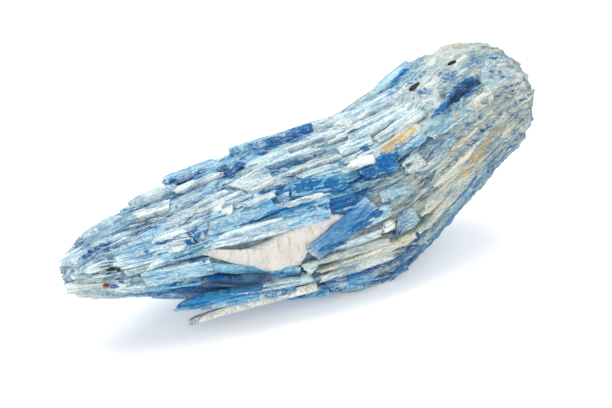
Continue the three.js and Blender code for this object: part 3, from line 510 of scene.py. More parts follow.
def lath_grids(frames, width, thick, rng, face_points, stations, ragged=1.0, steps=3, relief=0.16, sink=(0.0, 0.6),
               taper=0.4):
    """The surface of many laths at once, on a grid of stations along each lath and points round its section.

    Across a lath: a flat face whose height changes by a few cleavage steps, each an S-shaped rise at a line that
    drifts sideways along the lath, and by cracks across the strips between them, plus fine ridges, which are sine
    waves across it. Along a lath: its two edges step inwards towards the tip, its width tapers and its face sinks
    towards both ends, its tip end is cut off at a slant, each strip between two cleavage steps breaks off at its
    own length, and the last part thins out."""
    tip, along, outward, across, length = frames
    n = len(length)
    sec_y, sec_z, on_face = lath_section(face_points)
    u = np.linspace(0, 1, stations) ** 1.35
    y = np.broadcast_to(sec_y, (n, stations, len(sec_y))).copy()
    u = np.broadcast_to(u[None, :, None], y.shape)
    col = lambda low, high, size=1: rng.uniform(low, high, (n, 1, size))
    # the edges step in towards the tip
    for side in (1, -1):
        for _ in range(2):
            start = col(0.05, 0.7)
            bite = col(0.0, 0.22) * ragged
            inward = bite / (1 + np.exp((u - start) / 0.012))
            y = np.where(side * y > 0, y * (1 - inward), y)
    y = y * (1 - col(0.1, 1.0) * taper * (1 - u) ** 2.2) * (1 - col(0.0, 0.8) * taper * u ** 4)
    half = (width / 2)[:, None, None]
    # the cleavage steps
    height = np.zeros(y.shape)
    breaks = np.zeros(y.shape)
    for _ in range(steps):
        line = col(-0.85, 0.85) + col(-0.25, 0.25) * u
        sharp = 1 / (1 + np.exp(-(y - line) * half / 0.07))
        flip = rng.random((n, 1, 1)) < 0.5
        share = np.where(flip, sharp, 1 - sharp)
        height = height - share * col(0.2, 1.0) * relief
        breaks = breaks + share * col(0.0, 2.6) * ragged
        # a crack across the strip, with the side towards the tip a little lower
        crack = col(0.1, 0.9) + col(-0.12, 0.12) * y
        height = height - share * col(0.0, 1.1) * relief / (1 + np.exp((u - crack) * length[:, None, None] / 0.15))
    ridge = np.zeros(y.shape)
    for _ in range(3):
        pitch = col(0.5, 1.3)
        ridge = ridge + col(0.2, 1.0) * np.sin(2 * math.pi * (y * half) / pitch + 4 * u * col(-1, 1) + col(0, 6.3))
    height = height + 0.035 * ridge
    height = height + col(0.0, 0.5) * relief * np.sin(5 * u + col(0, 6.3))
    thinning = 1 - col(0.15, 0.75) * np.exp(-u * length[:, None, None] / 1.1)
    z = sec_z * thick[:, None, None] * thinning + height * on_face
    z = z - (1 - thinning) * thick[:, None, None] * 0.25
    z = z - sink[0] * col(0.2, 1.0) * (1 - u) ** 3 - sink[1] * col(0.2, 1.0) * u ** 3
    # the broken ends
    slant = col(-0.8, 0.8)
    jag = 0.35 * ragged * np.sin(y * half * col(2.5, 6) + col(0, 6.3))
    lean = col(-0.6, 0.6)
    breaks = breaks * np.clip(length / 18, 0.1, 1.2)[:, None, None]
    tip_cut = (slant * y + np.abs(slant)) * half + breaks + jag
    root_cut = (lean * y + np.abs(lean)) * half + 0.3 * breaks
    reach = length[:, None, None]
    x = u * reach + tip_cut * (1 - u) ** 3 - root_cut * u ** 3
    bow = col(-0.012, 0.012) * reach * np.sin(math.pi * u)
    sideways = y * half
    place = lambda v: v[:, None, None, :]
    points = (place(tip) + x[..., None] * place(along) + sideways[..., None] * place(across)
              + (z + bow)[..., None] * place(outward))
    edge = np.clip(np.maximum(np.abs(y) ** 6, np.exp(-(x - tip_cut) / 0.5)), 0, 1)
    return points, x, sideways, edge


def lath_faces(n, stations, ring):
    """Quads between neighbouring stations of each lath, and a fan of triangles from a point to close each end."""
    base = (np.arange(n) * (stations * ring + 2))[:, None, None]
    i = np.arange(stations - 1)[None, :, None] * ring
    j = np.arange(ring)[None, None, :]
    k = (j + 1) % ring
    quads = np.stack([base + i + j, base + i + k, base + i + ring + k, base + i + ring + j], -1).reshape(-1, 4)
    base = base[:, 0]
    j, k = j[0], k[0]
    pole = base + stations * ring
    last = (stations - 1) * ring
    tip_fan = np.stack(np.broadcast_arrays(pole, base + k, base + j), -1).reshape(-1, 3)
    root_fan = np.stack(np.broadcast_arrays(pole + 1, base + last + j, base + last + k), -1).reshape(-1, 3)
    return quads, np.concatenate([tip_fan, root_fan])


def join_poles(grid):
    """Flattens each lath's grid of values to a list, with the mean of its first and of its last ring added."""
    n, stations, ring = grid.shape[:3]
    rest = grid.shape[3:]
    body = grid.reshape((n, stations * ring) + rest)
    ends = np.stack([grid[:, 0].mean(1), grid[:, -1].mean(1)], 1)
    return np.concatenate([body, ends], 1).reshape((-1,) + rest)


# ---------------------------------------------------------------------------------------------- meshes


def rest_on_floor(points):
    """Presses everything that would reach below the floor flat onto it."""
    out = points.copy()
    out[:, 2] = np.maximum(out[:, 2], 0.0)
    return out


def new_piece(name, points, quads, triangles, attributes, sharp=38.0):
    """A mesh object from millimetre points, in the part's frame, with colour attributes on its points."""
    mesh = bpy.data.meshes.new(name)
    place = (rest_on_floor(points) + TO_ORIGIN) * MM
    corners = np.concatenate([quads.ravel(), triangles.ravel()]).astype(np.int32)
    totals = np.concatenate([np.full(len(quads), 4), np.full(len(triangles), 3)]).astype(np.int32)
    starts = np.concatenate([[0], np.cumsum(totals)[:-1]]).astype(np.int32)
    mesh.vertices.add(len(place))
    mesh.vertices.foreach_set("co", place.ravel().astype(np.float32))
    mesh.loops.add(len(corners))
    mesh.loops.foreach_set("vertex_index", corners)
    mesh.polygons.add(len(totals))
    mesh.polygons.foreach_set("loop_start", starts)
    mesh.polygons.foreach_set("use_smooth", np.ones(len(totals), bool))
    mesh.update(calc_edges=True)
    for key, values in attributes.items():
        layer = mesh.color_attributes.new(key, "FLOAT_COLOR", "POINT")
        full = np.ones((len(place), 4))
        full[:, :values.shape[1]] = values
        layer.data.foreach_set("color", full.ravel().astype(np.float32))
    mesh.set_sharp_from_angle(angle=math.radians(sharp))
    piece = bpy.data.objects.new(name, mesh)
    bpy.context.scene.collection.objects.link(piece)
    return piece


def with_alpha(colours, alpha):
    return np.column_stack([colours, alpha])


def lath_piece(context, name, frames, width, thick, face, streak, rng, face_points, stations, own=1.0, **shape):
    """Makes one kyanite piece of many laths, with the attributes that its material reads: Face and Streak are its
    colours, with its painted shade in the gaps (how deep it lies in a gap) and how far it has crumbled as their
    alphas, Marks is its four kinds of mark, and Grain is the place along and across the lath, its edge, and a
    number of its own."""
    points, x, sideways, edge = lath_grids(frames, width, thick, rng, face_points, stations, **shape)
    n, stations, ring = points.shape[:3]
    number = np.broadcast_to(rng.random((n, 1, 1)), x.shape)
    grain = join_poles(np.stack([x, sideways, edge, number], -1))
    flat = join_poles(points)
    # a lath has some of its own colour, and towards both ends it takes on the colour of what lies round it
    reach = frames[4][:, None, None]
    own_share = own - 0.75 * own * join_poles(np.exp(-x / 1.5) + np.exp(-(reach - x) / 1.5)).clip(0, 1)[:, None]
    spread = lambda c: join_poles(np.broadcast_to(c[:, None, None, :], points.shape))
    near_face, near_streak = zone_colours(flat)
    quads, triangles = lath_faces(n, stations, ring)
    piece = new_piece(name, flat, quads, triangles, {
        # Face's alpha is the painted shade in the gaps
        "Face": with_alpha(near_face + (spread(face) - near_face) * own_share, gap_shade_at(flat)),
        "Streak": with_alpha(near_streak + (spread(streak) - near_streak) * own_share,
                             crumbled_at(flat[:, 0], turn_of(flat))),
        "Marks": marks_at(flat), "Grain": grain,
    })
    kyanite_finish(context, piece)


# ---------------------------------------------------------------------------------------------- materials


def add(tree, kind, inputs=None, **settings):
    """Adds one node. inputs gives its sockets values, or other nodes' sockets to link to, and settings gives its
    properties."""
    node = tree.nodes.new(kind)
    for key, value in settings.items():
        setattr(node, key, value)
    for key, value in (inputs or {}).items():
        if isinstance(value, bpy.types.NodeSocket):
            tree.links.new(value, node.inputs[key])
        else:
            node.inputs[key].default_value = value
    return node


def new_material(name):
    material = bpy.data.materials.new(name)
    material.use_nodes = True
    material.node_tree.nodes.clear()
    return material, material.node_tree


def shades(colours):
    """A function that gives any of the colour settings with an alpha of 1."""
    return lambda name: (*getattr(colours, name), 1.0)


def noise(tree, vector, stretch, detail=3.0, roughness=0.55):
    """A noise whose grain is 1 over stretch millimetres on each axis, from a vector in millimetres."""
    scaled = add(tree, "ShaderNodeVectorMath", {0: vector, 1: stretch}, operation="MULTIPLY")
    texture = add(tree, "ShaderNodeTexNoise", {"Vector": scaled.outputs[0], "Scale": 1.0, "Detail": detail,
                                               "Roughness": roughness})
    return texture.outputs["Fac"]


def math_node(tree, operation, a, b, c=0.0, clamp=False):
    return add(tree, "ShaderNodeMath", {0: a, 1: b, 2: c}, operation=operation, use_clamp=clamp).outputs[0]


def times(tree, a, b, clamp=False):
    return math_node(tree, "MULTIPLY", a, b, clamp=clamp)


def plus(tree, first, *others):
    for other in others:
        first = math_node(tree, "ADD", first, other)
    return first


def place_mm(tree):
    """The place in the piece, in millimetres."""
    place = add(tree, "ShaderNodeTexCoord").outputs["Object"]
    return add(tree, "ShaderNodeVectorMath", {0: place, 1: (1 / MM,) * 3}, operation="MULTIPLY").outputs[0]


def bumps(tree, height, distance, strength=1.0):
    """The normals of a rough surface, from a height between 0 and 1 that stands for distance in metres."""
    bump = add(tree, "ShaderNodeBump", {"Height": height, "Strength": strength, "Distance": distance})
    return bump.outputs["Normal"]


def finish_material(tree, inputs):
    """Ends a material in a shader with these inputs."""
    shader = add(tree, "ShaderNodeBsdfPrincipled", inputs)
    add(tree, "ShaderNodeOutputMaterial", {"Surface": shader.outputs["BSDF"]})


def threshold(tree, value, low, high):
    """0 where value is under low, 1 where it is over high, and smooth between."""
    return add(tree, "ShaderNodeMapRange", {"Value": value, "From Min": low, "From Max": high},
               interpolation_type="SMOOTHSTEP").outputs["Result"]


def blend(tree, share, a, b, mode="MIX"):
    node = add(tree, "ShaderNodeMix", data_type="RGBA", blend_type=mode)
    for key, value in ((0, share), (6, a), (7, b)):
        if isinstance(value, bpy.types.NodeSocket):
            tree.links.new(value, node.inputs[key])
        else:
            node.inputs[key].default_value = value
    return node.outputs[2]


def marked(tree, share, wobble_a, wobble_b, amount_a=0.9, amount_b=0.6):
    """A mark's cover: its share, broken up by two noises so that it ends in streaks and grains."""
    a = math_node(tree, "MULTIPLY_ADD", wobble_a, amount_a, -0.5 * amount_a)
    b = math_node(tree, "MULTIPLY_ADD", wobble_b, amount_b, -0.5 * amount_b)
    total = plus(tree, share, a, b)
    present = threshold(tree, share, 0.02, 0.25)
    return times(tree, threshold(tree, total, 0.38, 0.72), present)


def kyanite_material(colours):
    """Kyanite, grown as flat triclinic blades and broken along its cleavage. The eye sees glassy to pearly faces
    with blue streaks that run the length of each blade, a crumbled white frost on the broken edges, and iron stain
    and dark mica in the gaps. Painted shade darkens the gaps, seams and hollows."""
    material, tree = new_material("kyanite_blades")
    shade = shades(colours)
    attribute = lambda name: add(tree, "ShaderNodeAttribute", attribute_name=name).outputs
    grain = attribute("Grain")
    marks = attribute("Marks")
    kinds = add(tree, "ShaderNodeSeparateColor", {"Color": marks["Color"]}).outputs
    place = add(tree, "ShaderNodeSeparateXYZ", {0: grain["Vector"]}).outputs
    own = grain["Alpha"]
    # each lath reads its own stretch of the pattern, by its own number
    shift = lambda value, by: plus(tree, value, times(tree, own, by))
    pattern = add(tree, "ShaderNodeCombineXYZ", {0: shift(place[0], 137.0), 1: shift(place[1], 71.0),
                                                 2: times(tree, own, 53.0)}).outputs[0]
    solid = place_mm(tree)
    streak = noise(tree, pattern, (0.14, 1.4, 1.0), 6.0, 0.68)  # streaks about 0.7 mm wide and 7 mm long
    clump = noise(tree, solid, (0.2, 0.28, 0.28), 5.0, 0.62)  # clumps of grains, where the blades have crumbled
    loose = attribute("Streak")["Alpha"]
    streak = blend(tree, loose, streak, clump)
    fibre = noise(tree, pattern, (0.5, 5.0, 1.0), 3.0)  # fibres 0.2 mm wide, coarse enough to show
    blotch = noise(tree, pattern, (0.3, 0.55, 1.0), 4.0, 0.6)  # clouds a few millimetres across
    cloud = noise(tree, solid, (0.12, 0.33, 0.33), 3.0)  # the same, running on from one blade to the next
    fleck = noise(tree, solid, (0.8, 2.2, 2.2), 3.0, 0.65)  # flecks 0.4 mm wide and a little longer
    sugar = noise(tree, solid, (1.8, 3.0, 3.0), 4.0, 0.72)  # crumbled grains of 0.3 mm
    share = lambda value, low, high, most: times(tree, threshold(tree, value, low, high), most)
    own_face = add(tree, "ShaderNodeSeparateColor", {"Color": attribute("Face")["Color"]}).outputs
    blueness = times(tree, math_node(tree, "SUBTRACT", own_face[2], own_face[0]), 3.2)
    blueness = add(tree, "ShaderNodeClamp", {"Value": blueness, "Min": 0.12, "Max": 1.0}).outputs[0]
    lightness = threshold(tree, own_face[0], -0.05, 0.4)
    deep_colour = blend(tree, threshold(tree, fibre, 0.35, 0.65), shade("deep"), shade("deepest"))
    colour = blend(tree, share(streak, 0.44, 0.62, 0.8), attribute("Face")["Color"], attribute("Streak")["Color"])
    colour = blend(tree, share(blotch, 0.5, 0.7, 0.5), colour, attribute("Streak")["Color"])
    # darker seams and flecks, deep blue where the kyanite is blue and slate where it is grey
    seams = plus(tree, share(plus(tree, cloud, streak), 0.98, 1.2, 0.6), share(fleck, 0.55, 0.7, 0.5))
    seam_colour = blend(tree, blueness, shade("slate"), shade("deep"))
    seams = times(tree, seams, math_node(tree, "MULTIPLY_ADD", loose, -0.6, 1.0), clamp=True)
    colour = blend(tree, seams, colour, seam_colour)
    # and paler ones between them
    pale = math_node(tree, "SUBTRACT", 1.0, fleck)
    pale_colour = blend(tree, blueness, shade("cream"), shade("frost"))
    pale = times(tree, share(pale, 0.53, 0.68, 0.5), lightness)
    colour = blend(tree, pale, colour, pale_colour)
    # the marks: deepest blue, iron stain, and crumbled white
    deep = marked(tree, times(tree, kinds[0], 0.86), streak, fleck, 1.4, 1.8)
    colour = blend(tree, times(tree, deep, 0.93), colour, deep_colour)
    rust = marked(tree, times(tree, kinds[2], 0.8), streak, fleck, 1.8, 1.6)
    rust_colour = blend(tree, threshold(tree, blotch, 0.4, 0.62), shade("rust"), shade("brown"))
    rust_colour = blend(tree, threshold(tree, kinds[2], 0.45, 0.8), shade("faint_rust"), rust_colour)
    rust = times(tree, rust, threshold(tree, fibre, 0.36, 0.52))
    colour = blend(tree, times(tree, rust, 0.9), colour, rust_colour)
    white = marked(tree, kinds[1], sugar, fibre, 1.4, 1.0)
    colour = blend(tree, times(tree, white, 0.75), colour, shade("crumble"))
    # frost, thickest along the edges
    frost = plus(tree, sugar, times(tree, place[2], 0.2), times(tree, plus(tree, fibre, blotch), 0.4))
    frosted = times(tree, share(frost, 0.92, 1.2, 0.6), math_node(tree, "MULTIPLY_ADD", deep, -0.6, 1.0))
    colour = blend(tree, times(tree, frosted, lightness), colour, shade("frost"))
    speck = noise(tree, pattern, (1.6, 3.6, 1.0), 3.0, 0.6)  # bright cross breaks, 0.3 mm wide
    speck = times(tree, share(speck, 0.58, 0.7, 0.6), threshold(tree, blotch, 0.36, 0.6))
    speck = times(tree, speck, math_node(tree, "MULTIPLY_ADD", lightness, 0.65, 0.35))
    colour = blend(tree, speck, colour, shade("fresh_break"))
    crack = noise(tree, pattern, (0.07, 2.6, 1.0), 2.0)  # hairline cleavage cracks, a centimetre long
    colour = blend(tree, share(crack, 0.6, 0.66, 0.5), colour, deep_colour)
    # painted shade: the gaps between the blades are multiplied darker, grey where the kyanite is grey and blue
    # where it is blue
    gap = times(tree, attribute("Face")["Alpha"], 0.64)
    gap_shade_colour = blend(tree, blueness, shade("grey_gap_shade"), shade("blue_gap_shade"))
    colour = blend(tree, gap, colour, gap_shade_colour, "MULTIPLY")
    # uneven brightness of the fine grain
    value = add(tree, "ShaderNodeMapRange", {"Value": sugar, "From Min": 0.3, "From Max": 0.7, "To Min": 0.84,
                                             "To Max": 1.26}).outputs["Result"]
    value = add(tree, "ShaderNodeCombineColor", {0: value, 1: value, 2: times(tree, value, 0.94)}).outputs[0]
    colour = blend(tree, 1.0, colour, value, "MULTIPLY")
    # dark mica and painted shade in the seams and hollows lie over everything
    dark = marked(tree, times(tree, marks["Alpha"], 0.85), streak, sugar, 1.4, 1.6)
    colour = blend(tree, times(tree, dark, 0.85), colour, shade("mica"))
    relief = plus(tree, times(tree, fibre, 0.6), plus(tree, times(tree, sugar, 0.5), streak))
    rough = add(tree, "ShaderNodeMapRange", {"Value": sugar, "To Min": 0.36, "To Max": 0.7})
    finish_material(tree, {
        "Base Color": colour, "Roughness": rough.outputs["Result"], "Normal": bumps(tree, relief, 0.00045),
        "IOR": 1.72, "Specular IOR Level": 0.17, "Specular Tint": (0.45, 0.75, 1.0, 1.0),
    })
    return material


def quartz_material(colours):
    """Massive white quartz, crystallised in a gap. The eye sees a dull, sugary, slightly translucent cream white
    with faint tan veins and a few ochre specks."""
    material, tree = new_material("quartz_lens")
    shade = shades(colours)
    solid = place_mm(tree)
    cloud = noise(tree, solid, (0.5, 0.5, 0.2), 5.0, 0.65)  # warm clouds 2 mm wide and 5 mm high
    vein = noise(tree, solid, (1.5, 1.5, 0.28), 5.0, 0.7)  # upright veins 0.7 mm wide
    sugar = noise(tree, solid, (3.0, 3.0, 2.4), 4.0, 0.75)  # grains of 0.3 mm
    colour = blend(tree, threshold(tree, cloud, 0.42, 0.62), shade("quartz"), shade("quartz_warm"))
    colour = blend(tree, times(tree, threshold(tree, vein, 0.52, 0.66), 0.6), colour, shade("quartz_vein"))
    colour = blend(tree, times(tree, threshold(tree, sugar, 0.52, 0.66), 0.6), colour, shade("frost"))
    marks = add(tree, "ShaderNodeAttribute", attribute_name="Marks").outputs
    ochre = add(tree, "ShaderNodeSeparateColor", {"Color": marks["Color"]}).outputs[2]
    ochre = marked(tree, times(tree, ochre, 0.9), vein, sugar, 1.0, 1.6)
    colour = blend(tree, times(tree, ochre, 0.7), colour, shade("brown"))
    relief = plus(tree, sugar, times(tree, vein, 1.4))
    finish_material(tree, {
        "Base Color": colour, "Roughness": 0.55, "Normal": bumps(tree, relief, 0.0007), "IOR": 1.54,
        "Subsurface Weight": 0.12, "Subsurface Radius": (1.0, 0.9, 0.8), "Subsurface Scale": 0.0012,
    })
    return material


def grain_material(name, light, dark, roughness):
    """A small mineral grain with uneven colour: garnet, red-brown and glassy, or mica, almost black and shiny."""
    material, tree = new_material(name)
    solid = place_mm(tree)
    patch = noise(tree, solid, (2.2, 2.2, 2.2), 3.0)
    colour = blend(tree, threshold(tree, patch, 0.4, 0.62), light, dark)
    finish_material(tree, {"Base Color": colour, "Roughness": roughness, "Specular IOR Level": 0.25,
                           "Normal": bumps(tree, patch, 0.0001, 0.5)})
    return material


def floor_material(colour):
    """Smooth matt white card."""
    material, tree = new_material("white_card")
    solid = add(tree, "ShaderNodeTexCoord").outputs["Object"]
    fleck = noise(tree, solid, (40.0, 40.0, 40.0), 2.0)
    tone = blend(tree, times(tree, fleck, 0.02), (*colour, 1.0), (0.9, 0.9, 0.9, 1.0))
    finish_material(tree, {"Base Color": tone, "Roughness": 0.9, "Specular IOR Level": 0.1,
                           "Emission Color": (1.0, 1.0, 1.0, 1.0), "Emission Strength": 0.25})
    return material


# ---------------------------------------------------------------------------------------------- settings


def length_setting(name, description, default):
    return bpy.props.FloatProperty(name=name, description=description, default=default, unit="LENGTH")


def colour_setting(name, description, default):
    return bpy.props.FloatVectorProperty(name=name, description=description, default=linear(default), size=3,
                                         min=0.0, max=1.0, subtype="COLOR")


class KYANITE_PG_sizes(bpy.types.PropertyGroup):
    """Sizes a user may change."""

    cleavage_step: length_setting("Cleavage step", "Height of the largest step on a blade's face", 0.00024)
    ground_depth: length_setting("Ground depth", "How far the fine mass lies under the outline", 0.0004)
    ground_relief: length_setting("Ground relief", "Height of the fine mass's ridges", 0.0005)
    quartz_lift: length_setting("Quartz lift", "How far the quartz stands out of the outline", 0.0004)
    garnet_size: length_setting("Garnet size", "Width of the garnet grain", 0.00105)
    fine_laths: bpy.props.IntProperty(name="Fine laths", description="Number of small blades over the whole mass",
                                      default=1250, min=0, max=1300)
    splinters: bpy.props.IntProperty(name="Splinters", description="Number of loose splinters", default=1500,
                                     min=0, max=5000)


class KYANITE_PG_colours(bpy.types.PropertyGroup):
    """Colours a user may change."""

    frost: colour_setting("Frost", "Crumbled edges of the blades", "#eef3f6")
    crumble: colour_setting("Crumble", "White patches", "#ebeeee")
    deep: colour_setting("Deep blue", "Deep streaks", "#0569ab")
    deepest: colour_setting("Deepest blue", "The darkest part of the deep streaks", "#024487")
    slate: colour_setting("Slate", "Dark patches where the kyanite is grey", "#557d9a")
    cream: colour_setting("Cream", "Pale patches where the kyanite is grey", "#e6dac2")
    rust: colour_setting("Iron stain", "The stain's light part", "#dca818")
    faint_rust: colour_setting("Faint stain", "The stain's palest part", "#e2cf9c")
    brown: colour_setting("Brown stain", "The stain's dark part", "#b8913f")
    fresh_break: colour_setting("Fresh break", "Bright breaks across the blades", "#a3cce5")
    # painted shade: the two colours multiplied into the gaps between the blades
    grey_gap_shade: colour_setting("Grey gap", "Tints the gaps where the kyanite is grey", "#90b2bd")
    blue_gap_shade: colour_setting("Blue gap", "Tints the gaps where the kyanite is blue", "#4aa4cc")
    # painted shade as well as mica: the colour of the dark marks, which stand for dark mica and for the shade in
    # seams and hollows
    mica: colour_setting("Mica", "Dark gaps and mica", "#152634")
    mica_flake: colour_setting("Mica flake", "The single flakes", "#1b1d1a")
    mica_dark: colour_setting("Dark mica flake", "The single flakes' dark part", "#0a0c0d")
    garnet: colour_setting("Garnet", "The garnet grain", "#a83c18")
    garnet_dark: colour_setting("Dark garnet", "The garnet grain's dark part", "#5f180b")
    quartz: colour_setting("Quartz", "The quartz's white", "#fdf9f3")
    quartz_warm: colour_setting("Warm quartz", "The quartz's cream", "#f5ede2")
    quartz_vein: colour_setting("Quartz vein", "The quartz's tan veins", "#b9a482")
    card: colour_setting("Card", "The floor", "#f8f8f8")


# ---------------------------------------------------------------------------------------------- pieces


def finish_piece(piece, material, node):
    piece.data.materials.append(material)
    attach(piece, "root")
    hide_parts(node)


def kyanite_finish(context, piece):
    made = bpy.data.materials.get("kyanite_blades")
    finish_piece(piece, made or kyanite_material(context.scene.kyanite_colours), "kyanite_blades")


def blade_colours(names):
    face = np.array([linear(BLADE_COLOURS[name][0]) for name in names])
    streak = np.array([linear(BLADE_COLOURS[name][1]) for name in names])
    return face, streak


def middle_colours(frames):
    """The face and streak colours that each lath's middle has from its zone."""
    tip, along, _, _, length = frames
    return zone_colours(tip + along * (length / 2)[:, None])


def paled(rng, face, most, white):
    """Each colour mixed with some white, most of them with only a little."""
    pale = rng.uniform(0, most, (len(face), 1)) ** 1.5
    return face * (1 - pale) + white * pale


def built_points():
    """The points of every piece built so far but the splinters, in millimetres from the outline's own origin."""
    points = []
    for piece in bpy.context.scene.objects:
        if piece.type == "MESH" and piece.name != "splinters":
            place = np.empty(len(piece.data.vertices) * 3, np.float32)
            piece.data.vertices.foreach_get("co", place)
            points.append(place.reshape(-1, 3) / MM - TO_ORIGIN)
    return np.concatenate(points)


def height_over(points, x, turn):
    """How far the points within half a millimetre of a place reach out of the outline."""
    offset = points - on_outline(x, turn)
    up = offset @ outward_at(x, turn)
    aside = np.sqrt(np.maximum((offset ** 2).sum(-1) - up ** 2, 0))
    near = (aside < 0.5) & (np.abs(up) < 7)
    return up[near].max()


class KYANITE_OT_main_blades(bpy.types.Operator):
    """Lay the large blades that show in front, on top and at both ends"""

    bl_idname = "kyanite.main_blades"
    bl_label = "Main blades"

    def execute(self, context):
        relief = context.scene.kyanite_sizes.cleavage_step / MM
        upper = [row for row in BLADES if row[1] >= 43]
        lower = [row for row in BLADES if row[1] < 43]
        for name, rows, seed in (("upper_blades", upper, 11), ("lower_blades", lower, 12)):
            rng = np.random.default_rng(seed)
            tip_x, tip_turn, root_x, root_turn, width, thick, lift, roll = np.array([r[:8] for r in rows], float).T
            roll = roll + rng.uniform(-9, 9, len(rows))
            frames = lath_frames(tip_x, tip_turn, root_x, root_turn, lift, np.minimum(lift, ROOT_LIFT), roll)
            face, streak = blade_colours([row[8] for row in rows])
            whole = (width >= 5)[:, None, None]
            lath_piece(context, name, frames, width, thick, face, streak, rng, 24, 30, relief=relief, steps=4,
                       own=0.85, ragged=np.where(whole, 0.15, 0.65), taper=np.where(whole, 0.15, 0.35),
                       sink=(0.0, 0.3))
        return {"FINISHED"}


class KYANITE_OT_back_blades(bpy.types.Operator):
    """Lay rows of large blades round the back and the belly"""

    bl_idname = "kyanite.back_blades"
    bl_label = "Back and belly blades"

    def execute(self, context):
        rng = np.random.default_rng(23)
        turns, starts = np.meshgrid(np.arange(134, 304, 11.0), np.arange(-50, 36, 15.0), indexing="ij")
        count = turns.size
        tip_x = np.maximum(starts.ravel() + rng.uniform(-5, 5, count), -51)
        root_x = np.minimum(tip_x + rng.uniform(15, 30, count), BLUNT_END)
        tip_turn = turns.ravel() + rng.uniform(-4, 4, count)
        root_turn = tip_turn + rng.uniform(-5, 5, count)
        girth = section((tip_x + root_x) / 2)[3] / 16
        width = rng.uniform(2.8, 5.6, count) * girth
        lift = rng.uniform(0.0, 1.1, count)
        frames = lath_frames(tip_x, tip_turn, root_x, root_turn, lift, lift * 0.8, rng.uniform(-8, 8, count))
        face, streak = middle_colours(frames)
        tint = rng.uniform(0.75, 1.2, (count, 1))
        thick = rng.uniform(1.4, 2.4, count)
        lath_piece(context, "back_blades", frames, width, thick, np.clip(face * tint, 0, 1), streak * tint, rng,
                   14, 16, relief=0.22, sink=(0.4, 0.9), taper=0.5, own=0.6)
        return {"FINISHED"}


class KYANITE_OT_end_blades(bpy.types.Operator):
    """Fill both ends of the mass with blades seen end on, each broken off at its own length"""

    bl_idname = "kyanite.end_blades"
    bl_label = "Broken ends"

    def execute(self, context):
        rng = np.random.default_rng(29)
        blunt, loose = 230, 60
        count = blunt + loose
        at_root = np.arange(count) < blunt
        # how far in from the outline each blade lies, as a share of the way to the middle
        depth = np.sqrt(rng.random(count))
        turn = rng.uniform(-180, 180, count)
        broken = rng.uniform(0, 1, count) ** 0.7
        tip_x = np.where(at_root, 43.0, LOOSE_END - 2.2 * broken * depth ** 0.3)
        root_x = np.where(at_root, 51.4 + 2.2 * broken - 1.2 * depth, -44.0)
        inset = np.where(at_root, 8.0, 3.4) * (1 - depth) + 0.5
        frames = lath_frames(tip_x, turn, root_x, turn, -inset, -inset, rng.uniform(-14, 14, count))
        face, streak = middle_colours(frames)
        tint = rng.uniform(0.8, 1.15, (count, 1))
        width = np.where(at_root, rng.uniform(0.9, 3.4, count), rng.uniform(0.9, 2, count))
        thick = rng.uniform(0.7, 1.6, count)
        lath_piece(context, "end_blades", frames, width, thick, face * tint, streak * tint, rng, 7, 9, steps=2,
                   relief=0.15, sink=(0.1, 0.1), taper=0.2, ragged=0.3, own=0.6)
        return {"FINISHED"}


class KYANITE_OT_fine_blades(bpy.types.Operator):
    """Fill the surface between the large blades with small ones"""

    bl_idname = "kyanite.fine_blades"
    bl_label = "Fine blades"

    def execute(self, context):
        rng = np.random.default_rng(37)
        count = context.scene.kyanite_sizes.fine_laths
        tip_x = rng.uniform(-52, 40, count)
        # long and even along the blades, short and crumbled in the raised lobe
        crumbled = np.clip((tip_x - 14) / 12, 0, 1)
        root_x = np.minimum(tip_x + rng.uniform(6, 20, count) * (1 - 0.6 * crumbled), LAST_ROOT)
        tip_turn = rng.uniform(-180, 180, count)
        root_turn = tip_turn + rng.uniform(-6, 6, count) * (1 + 1.2 * crumbled)
        middle = (tip_x + root_x) / 2, (tip_turn + root_turn) / 2
        keep = ~(in_quartz(tip_x, tip_turn) | in_quartz(*middle) | in_quartz(root_x, root_turn))
        keep &= ~(in_hollow(tip_x, tip_turn) | in_hollow(*middle) | in_hollow(root_x, root_turn))
        kept = np.stack([tip_x, root_x, tip_turn, root_turn, crumbled])[:, keep]
        tip_x, root_x, tip_turn, root_turn, crumbled = kept
        count = len(tip_x)
        girth = section((tip_x + root_x) / 2)[3] / 16
        width = (0.7 + 2.6 * rng.random(count) ** 1.5) * np.clip(girth, 0.8, 1.2)
        lift = rng.uniform(-0.55, 0.1, count)
        frames = lath_frames(tip_x, tip_turn, root_x, root_turn, lift + valleys(tip_x, tip_turn),
                             lift + valleys(root_x, root_turn), rng.uniform(-9, 9, count) * (1 + 1.5 * crumbled))
        face, streak = middle_colours(frames)
        face = paled(rng, face, 0.3, 0.75)
        tint = rng.uniform(0.85, 1.08, (count, 1))
        thick = rng.uniform(0.8, 1.4, count)
        lath_piece(context, "fine_blades", frames, width, thick, face * tint, streak * tint, rng, 7, 7, steps=2,
                   relief=0.2, sink=(0.5, 0.8), taper=0.6, own=0.45)
        return {"FINISHED"}


